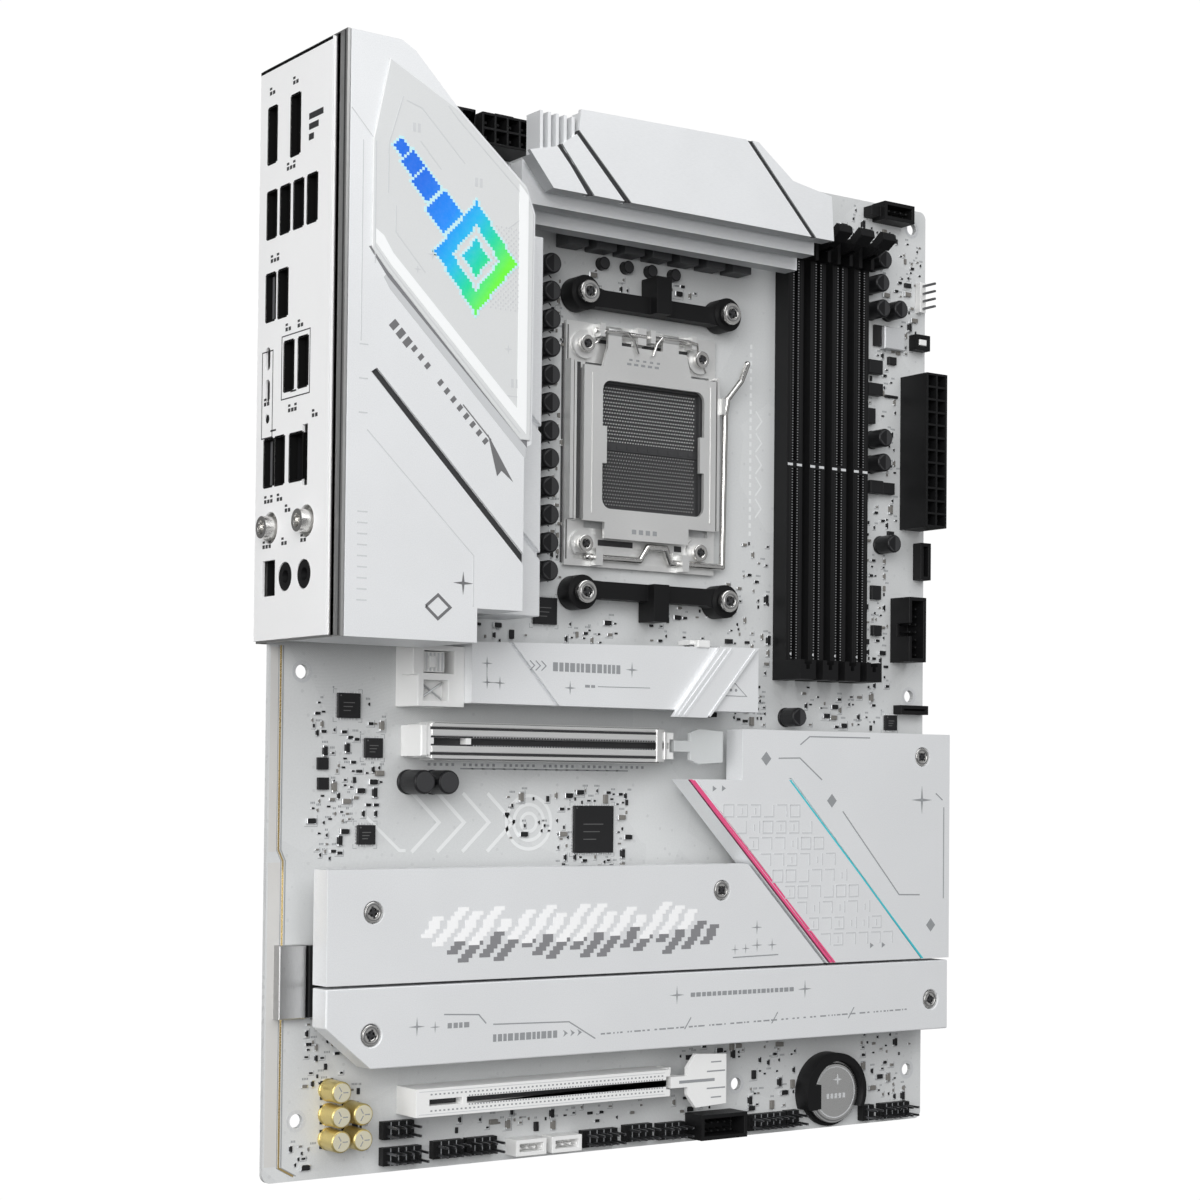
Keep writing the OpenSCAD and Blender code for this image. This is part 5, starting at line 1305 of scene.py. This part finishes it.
def buildExpansionSlots():
    x0, length, top = slotPrint["x0"], slotPrint["length"], slotPrint["top"]
    for node in ("pcie_slot_upper", "pcie_slot_lower"):
        roundedCopy(node, 0.2)
    for node in ("pcie_latch_upper", "pcie_latch_lower"):
        roundedCopy(node, 0.3)
    y = slotPlaces[0]
    rails = bmesh.new()
    darks = bmesh.new()
    for s in (-1, 1):
        addBlock(rails, x0 + 3.6, y + s * 2.35 - 0.85, top, x0 + length - 5.0, y + s * 2.35 + 0.85,
                 top + 0.35, 0.15)
        addBlock(rails, x0 + 3.6, y + s * 4.55 - 0.5, top - 0.6, x0 + length - 3.4, y + s * 4.55 + 0.5,
                 top + 0.1, 0.15)
        addBlock(darks, x0 + 3.2, y + s * 3.6 - 0.38, top, x0 + length - 4.2, y + s * 3.6 + 0.38, top + 0.06)
        addBlock(darks, x0 + 3.4, y + s * 1.15 - 0.25, top, x0 + length - 5.0, y + s * 1.15 + 0.25,
                 top + 0.06)
        addBlock(darks, x0 + 6.4, y + s * 5.15 - 0.1, 8.02, x0 + length - 3.2, y + s * 5.15 + 0.1, 8.08)
    addBlock(rails, x0 + length - 6.6, y - 4.9, top, x0 + length - 4.4, y + 4.9, top + 0.5, 0.15)
    addBlock(rails, x0 + length - 3.6, y - 4.2, top, x0 + length - 2.6, y + 4.2, top + 0.4, 0.15)
    pieceFrom(rails, "slotRails", finishes["steel"])
    pieceFrom(darks, "slotDarkLines", darkInkAndShade)
    cap = bmesh.new()
    addBlock(cap, x0 - 0.05, y - 4.4, 0.2, x0 + 2.1, y + 4.4, top + 0.5, 0.35)
    pieceFrom(cap, "slotEndCap", finishes["white_plastic"])
    pads = bmesh.new()
    for k in range(39):
        if k % 7 != 5:
            addBlock(pads, x0 + 9 + 2.0 * k, y - 7.0, 0.0, x0 + 9.9 + 2.0 * k, y - 6.2, 0.04)
    for k in range(16):
        addBlock(pads, x0 + 20 + 3.7 * k, y - 7.9, 0.0, x0 + 24.5 + 3.7 * k, y - 7.5, 0.04)
    pieceFrom(pads, "slotPadRow", greyInkAndShade)
    contact = unitShape("slotContact", lambda bm: addBlock(bm, -0.22, -0.2, 0, 0.22, 0.2, 0.1))
    for name, ys in (("slotContactsUpper", slotPlaces[0]), ("slotContactsLower", slotPlaces[1])):
        field(name, contact, slotPrint["contacts"], 2, (x0 + 17.6, ys - 1.25, x0 + length - 3.0, ys + 1.25),
              top - 0.02, greyInkAndShade if "Lower" in name else tinPlate)
    bpy.data.objects.remove(contact)
    y = slotPlaces[1]
    lower = bmesh.new()
    for s in (-1, 1):
        addBlock(lower, x0 + 1.0, y + s * 3.2 - 0.09, top, x0 + length - 2, y + s * 3.2 + 0.09, top + 0.05)
    pieceFrom(lower, "slotFineLines", printPale)
    dash = unitShape("slotDash", lambda bm: addBlock(bm, -0.3, -0.22, 0, 0.3, 0.22, 0.05))
    for side, ys in (("Near", y - 2.3), ("Far", y + 2.3)):
        field(f"slotDashes{side}", dash, 58, 1, (x0 + 5.0, ys, x0 + length - 3.0, ys), top, greyInkAndShade)
    bpy.data.objects.remove(dash)
    low = boxOf("pcie_latch_lower")
    # painted shade: grey lines along the edges of the latch's raised band, on its wings and down its middle
    # groove
    latchShade = bmesh.new()
    for s in (-1, 1):
        addBlock(latchShade, low[3] - 7.6, y + s * 2.6 - 0.22, low[5], low[3] - 0.5, y + s * 2.6 + 0.22,
                 low[5] + 0.04)
        addBlock(latchShade, low[3] - 6.0, y + s * 5.4 - 0.2, low[5], low[3] - 2.0, y + s * 5.4 + 0.2,
                 low[5] + 0.04)
    addBlock(latchShade, low[0] + 3.0, y - 0.45, low[5], low[3] - 4.6, y + 0.45, low[5] + 0.05)
    pieceFrom(latchShade, "lowerLatchLines", greyInkAndShade, nodes["pcie_latch_lower"]["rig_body"])
    floorStrip = bmesh.new()
    for ys in slotPlaces:
        addBlock(floorStrip, x0 + 4.5, ys - 0.88, 7.6, x0 + 15.1, ys + 0.88, 7.7)
        addBlock(floorStrip, x0 + 16.9, ys - 0.88, 7.6, x0 + length - 1.7, ys + 0.88, 7.7)
    pieceFrom(floorStrip, "slotDepths", darkInkAndShade)


buildMemorySlots()
buildExpansionSlots()
print("slots dressed")


# round capacitors and sound section
capShapes = {"column": [(87.4, 173.4 + 8.3 * i, 0, 0, (3.2, 3.2, 8.0)) for i in range(12)],
             "row": [(110 + 9 * i, 268.8, 0, 0, (2.0, 2.0, 2.4)) for i in range(4)],
             "tall": [(x, 110.6, 0, 0, (3.6, 3.6, 10.0)) for x in (44.4, 52.4)],
             "loose": [(x, y, 0, 0, (3.1, 3.1, 7.4))
                       for x, y in ((218.4, 276.6), (218.9, 268.2), (226.6, 268.8), (224.2, 190.8),
                                    (219.4, 284.4), (220.1, 225.5), (219.7, 217.3), (184, 132.6))]}
goldCaps = [(x, y, 0, 0, (3.2, 3.2, 8.0))
            for x, y in ((20.1, 24.5), (20.1, 17.7), (27, 18), (20.1, 10.9), (27, 10.9))]


def lathe(bm, profile, sides):
    angles = [2 * math.pi * k / sides for k in range(sides)]
    loops = [[bm.verts.new(at(r * math.cos(a), r * math.sin(a), z)) for a in angles] for r, z in profile]
    joinLoops(bm, loops)


def buildCapacitors():
    profile = [(1.0, 0.0), (1.0, 0.08), (0.93, 0.11), (0.93, 0.18), (0.965, 0.22), (0.965, 0.93),
               (0.93, 0.97), (0.86, 0.998)]
    can = unitShape("canShape", lambda bm: lathe(bm, profile, 28))
    disc = unitShape("canTop", lambda bm: lathe(bm, [(0.82, 0.99), (0.82, 1.002), (0.78, 1.006)], 24))

    def capMark(bm):
        addSlab(bm, [(-0.78, -0.2), (-0.1, -0.76), (0.05, -0.76), (0.05, 0.76), (-0.1, 0.76), (-0.78, 0.2)],
                1.006, 1.012)
    mark = unitShape("canMark", capMark)

    def ventMark(bm):
        for a in (0, 120, 240):
            c, s = math.cos(math.radians(a)), math.sin(math.radians(a))
            addStroke(bm, [(0.1 * c, 0.1 * s), (0.6 * c, 0.6 * s)], 0.09, 1.006, 0.008)
    vent = unitShape("canVent", ventMark)
    every = [p for group in capShapes.values() for p in group]
    sleeves = onPlaces("capSleeves", can, every, finishes["cap_black"])
    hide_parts("capacitors")
    onPlaces("capTops", disc, every, finish("capTopGrey", (0.036, 0.036, 0.038), 0.4, contrast=0.4))
    onPlaces("capMarks", mark, capShapes["column"] + capShapes["loose"], finishes["cap_black"])
    # little leg marks beside every can of the long column
    legs = bmesh.new()
    for x, y, *_ in capShapes["column"]:
        addStroke(legs, [(x + 3.6, y + 1.6), (x + 5.0, y + 0.2), (x + 5.0, y - 1.2)], 0.4, 0.0, 0.05)
        addStroke(legs, [(x + 3.7, y - 1.8), (x + 4.6, y - 2.6)], 0.4, 0.0, 0.05)
    pieceFrom(legs, "capLegMarks", darkInkAndShade)
    gold = onPlaces("soundCaps", can, goldCaps,
                    finish("soundSleeve", (0.74, 0.6, 0.24), 0.32, 0.8, contrast=0.3))
    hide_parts("audio_section")
    onPlaces("soundCapTops", disc, goldCaps, finish("goldTop", (0.86, 0.81, 0.62), 0.35, 0.5, contrast=0.15))
    onPlaces("soundCapVents", vent, goldCaps, greyInkAndShade)
    bases = bmesh.new()
    for x, y, *_ in goldCaps:
        addBlock(bases, x - 2.6, y - 2.6, 0.0, x + 2.6, y + 2.6, 0.5, 0.1)
    pieceFrom(bases, "soundCapFeet", finishes["package_black"])
    cans = bmesh.new()
    addBlock(cans, 2.7, 45.0, 0.0, 11.0, 65.3, 3.4, 0.25)
    for k in range(9):
        addBlock(cans, 4.2, 47.0 + 2.0 * k, 3.4, 9.6, 47.7 + 2.0 * k, 3.46)
    pieceFrom(cans, "soundCan", finishes["audio_metal"])
    codec = bmesh.new()
    addBlock(codec, 12.0, 45.2, 0.0, 18.0, 65.0, 3.0, 0.2)
    pieceFrom(codec, "soundCodec", finishes["package_black"])
    for shape in (can, disc, mark, vent):
        bpy.data.objects.remove(shape)


buildCapacitors()
print("capacitors made")


# headers: housings in two colours, tin pins, marks; and softened edges on the remaining small bodies
headerRows = [(36.4, 9.4, 4, 2), (36.4, 2.0, 5, 2), (53.0, 2.6, 4, 2), (64.4, 2.6, 4, 2),
              (105.0, 1.6, 5, 2), (120.6, 2.0, 4, 2), (133.2, 1.6, 4, 2), (168.4, 1.6, 6, 2),
              (184.0, 1.8, 2, 2), (216.0, 1.2, 2, 2), (224.0, 1.2, 5, 2), (239.4, 270.2, 1, 4)]
headerPitch = 2.54
softNodes = {"atx_power_connector": 0.15, "eps_power_connectors": 0.15, "battery_holder": 0.25,
             "battery_cell": 0.3, "socket_housing": 0.2, "socket_frame": 0.12, "chip_packages": 0.08,
             "power_chokes": 0.3, "m2_connectors": 0.12, "m2_release_slider": 0.2, "cpu_backplate": 0.25,
             "retention_screws": 0.25, "heatsink_screws": 0.2, "plate_hinge_pin": 0.12,
             "flash_button": 0.15, "antenna_jacks": 0.2, "audio_jacks": 0.2, "io_shield": 0.1}


def headerPlaces(z):
    return [(x0 + headerPitch * (i + 0.5), y0 + headerPitch * (j + 0.5), z)
            for x0, y0, columns, rows in headerRows for i in range(columns) for j in range(rows)]


def buildHeaders():
    # the few pale housings stand apart from the black ones
    def pale(c):
        return 78.6 < c.x < 102.6 and c.y < 7.0 or c.x > 239.0 and 269.8 < c.y < 280.8 and c.z < 3.0
    for node in ("pin_headers", "edge_headers"):
        roundedCopy(node, 0.12, 1, keep=lambda c: not pale(c))
        roundedCopy(node, 0.12, 1, node + "Pale", finishes["white_plastic"], keep=pale, stands=False)
    pin = unitShape("headerPin", lambda bm: addBlock(bm, -0.33, -0.33, 2.4, 0.33, 0.33, 8.5, 0.12))
    onPlaces("headerPins", pin, headerPlaces(0.0),
             finish("headerPin", (0.2, 0.2, 0.21), 0.35, 1.0, contrast=0.2))
    bpy.data.objects.remove(pin)
    grooves = bmesh.new()
    for x0, y0, columns, rows in headerRows[:-1]:
        for i in range(1, columns):
            x = x0 + headerPitch * i
            addBlock(grooves, x - 0.14, y0 + 0.1, 2.5, x + 0.14, y0 + headerPitch * rows - 0.1, 2.53)
    pieceFrom(grooves, "headerGrooves", greyInkAndShade)


def buildSmallBodies():
    for node, width in softNodes.items():
        roundedCopy(node, width)
    cell = boxOf("battery_cell")
    cx, cy, top = (cell[0] + cell[3]) / 2, (cell[1] + cell[4]) / 2, cell[5]
    marks = bmesh.new()
    addPost(marks, cx, cy, top, top + 0.03, 8.3, 48, 8.0)
    addPlus(marks, cx + 1.0, cy + 4.0, 1.8, 0.5, top)
    for k in range(5):
        addBlock(marks, cx - 3.6 + 1.7 * k, cy - 2.0, top, cx - 2.6 + 1.7 * k, cy - 0.4, top + 0.03)
    pieceFrom(marks, "cellMarks", printPale)
    # tin inductor by the memory slots, and a pale insert in the small socket near it
    tin = bmesh.new()
    addBlock(tin, 223.6, 256.2, 0.0, 232.6, 263.6, 2.6, 0.3)
    pieceFrom(tin, "tinInductor", finish("inductorGrey", (0.6, 0.61, 0.62), 0.4, 0.2, contrast=0.2))
    insert = bmesh.new()
    addBlock(insert, 238.2, 258.8, 1.6, 241.4, 260.8, 3.7, 0.2)
    pieceFrom(insert, "socketInsert", finishes["white_plastic"])
    # painted shade: dark floors in the grooves of the upper heat sink
    sink = boxOf("vrm_heatsink_top")
    high = sink[5] - 0.5
    dark = bmesh.new()
    for points in ([(82.2, 278.95), (83.8, 278.95), (72.3, 292.0), (71.2, 291.2)],
                   [(95.5, 278.95), (97.1, 278.95), (78.4, 296.9), (77.4, 295.8)],
                   [(165.1, 278.95), (166.9, 278.95), (141.3, 304.5), (139.5, 304.5)]):
        addSlab(dark, points, high - 1.2, high)
    pieceFrom(dark, "sinkGrooves", darkInkAndShade)


def buildUnderside():
    # solder joints under the slots, sockets and headers, a few small parts, and the printed frame marks
    def jointShape(bm):
        loops = [[bm.verts.new(at(r * math.cos(a * math.pi / 3), r * math.sin(a * math.pi / 3), z))
                  for a in range(6)]
                 for r, z in ((0.14, -0.75), (0.3, -0.5), (0.55, 0.0))]
        joinLoops(bm, loops)
    joint = unitShape("solderJoint", jointShape)
    low = -boardThick
    for k, x in enumerate(dimmPlaces):
        field(f"jointsMemory{k + 1}", joint, 4, 74, (x - 2.4, 149.0, x + 2.4, 278.0), low, tinPlate)
    for k, y in enumerate(slotPlaces):
        field(f"jointsSlot{k + 1}", joint, 78, 2, (slotBox[0] + 4.0, y - 1.6, slotBox[0] + 86.0, y + 1.6),
              low, tinPlate)
    power = boxOf("atx_power_connector")
    middle = (power[0] + power[3]) / 2
    field("jointsPower", joint, 2, 12, (middle - 2.1, power[1] + 3.0, middle + 2.1, power[4] - 3.0), low,
          tinPlate)
    eps = boxOf("eps_power_connectors")
    field("jointsEps", joint, 8, 2, (eps[0] + 3.0, eps[1] + 3.0, eps[3] - 3.0, eps[1] + 7.2), low, tinPlate)
    pins = headerPlaces(low)
    pins += [(x + s * 1.6, y, low) for group in capShapes.values() for x, y, *_ in group for s in (-1, 1)]
    pins += [(x + s * 1.6, y, low) for x, y, *_ in goldCaps for s in (-1, 1)]
    pins += [(3.0 + 2.2 * i, 162.0 + 3.1 * j, low) for i in range(5) for j in range(43)]
    onPlaces("jointsLoose", joint, pins, tinPlate)
    bpy.data.objects.remove(joint)
    draw = random.Random(73)
    body = unitShape("underBody", lambda bm: addBlock(bm, -0.5, -0.25, -0.45, 0.5, 0.25, 0.0))
    plate = boxOf("cpu_backplate")
    spots = []
    for _ in range(420):
        x, y = round(draw.uniform(20, 172) * 2) / 2, round(draw.uniform(30, 300) * 2) / 2
        inPlate = plate[0] - 2 < x < plate[3] + 2 and plate[1] - 2 < y < plate[4] + 2
        if not inPlate and clearOf(x, y, 0.8, spots) and not any(abs(y - s) < 6 for s in slotPlaces):
            spots.append((x, y, 0.9))
    onPlaces("underParts", body, [(x, y, low, draw.choice((0, 90)), (1.6, 1.6, 1.2)) for x, y, _ in spots],
             finishes["package_black"])
    bpy.data.objects.remove(body)
    marks = bmesh.new()
    for x0, y0, x1, y1 in ((176.0, 146.0, 216.0, 281.0), (40.0, 114.0, 132.0, 131.0),
                           (40.0, 13.0, 132.0, 27.6)):
        for a, b, c, d in ((x0, y0, x1, y0 + 0.3), (x0, y1 - 0.3, x1, y1), (x0, y0, x0 + 0.3, y1),
                           (x1 - 0.3, y0, x1, y1)):
            addBlock(marks, a, b, low - 0.04, c, d, low)
    for k in range(40):
        addBlock(marks, 60.0 + 1.9 * k, 70.0, low - 0.04, 61.1 + 1.9 * k, 72.4, low)
    pieceFrom(marks, "underMarks", greyInkAndShade)


def buildBoardPrint():
    # faint chevrons, rings and ticks printed on the bare stretches of the board
    faint = bmesh.new()
    for k in range(4):
        x = 46.0 + 8.5 * k
        addStroke(faint, [(x, 90.5), (x + 9.0, 99.0), (x, 107.5)], 1.1, 0.0, 0.03)
    for k in range(3):
        addPost(faint, 86.0, 99.0, 0.0, 0.03, 8.4 - 2.6 * k, 40, 7.4 - 2.6 * k)
    addStroke(faint, [(30.0, 101.5), (42.0, 91.0), (44.0, 91.0)], 0.9, 0.0, 0.03)
    for k in range(24):
        addBlock(faint, 168.4, 190.0 + 2.6 * k, 0.0, 169.3, 191.4 + 2.6 * k, 0.03)
    for k in range(5):
        addStroke(faint, [(171.0, 196.0 + 7.0 * k), (173.4, 199.0 + 7.0 * k), (171.0, 202.0 + 7.0 * k)], 0.5,
                  0.0, 0.03)
    pieceFrom(faint, "boardFaintPrint", finish("faintPrint", (0.78, 0.79, 0.79), 0.45, contrast=0.04))


buildHeaders()
buildSmallBodies()
buildUnderside()
buildBoardPrint()
print("small bodies, underside and faint print done")
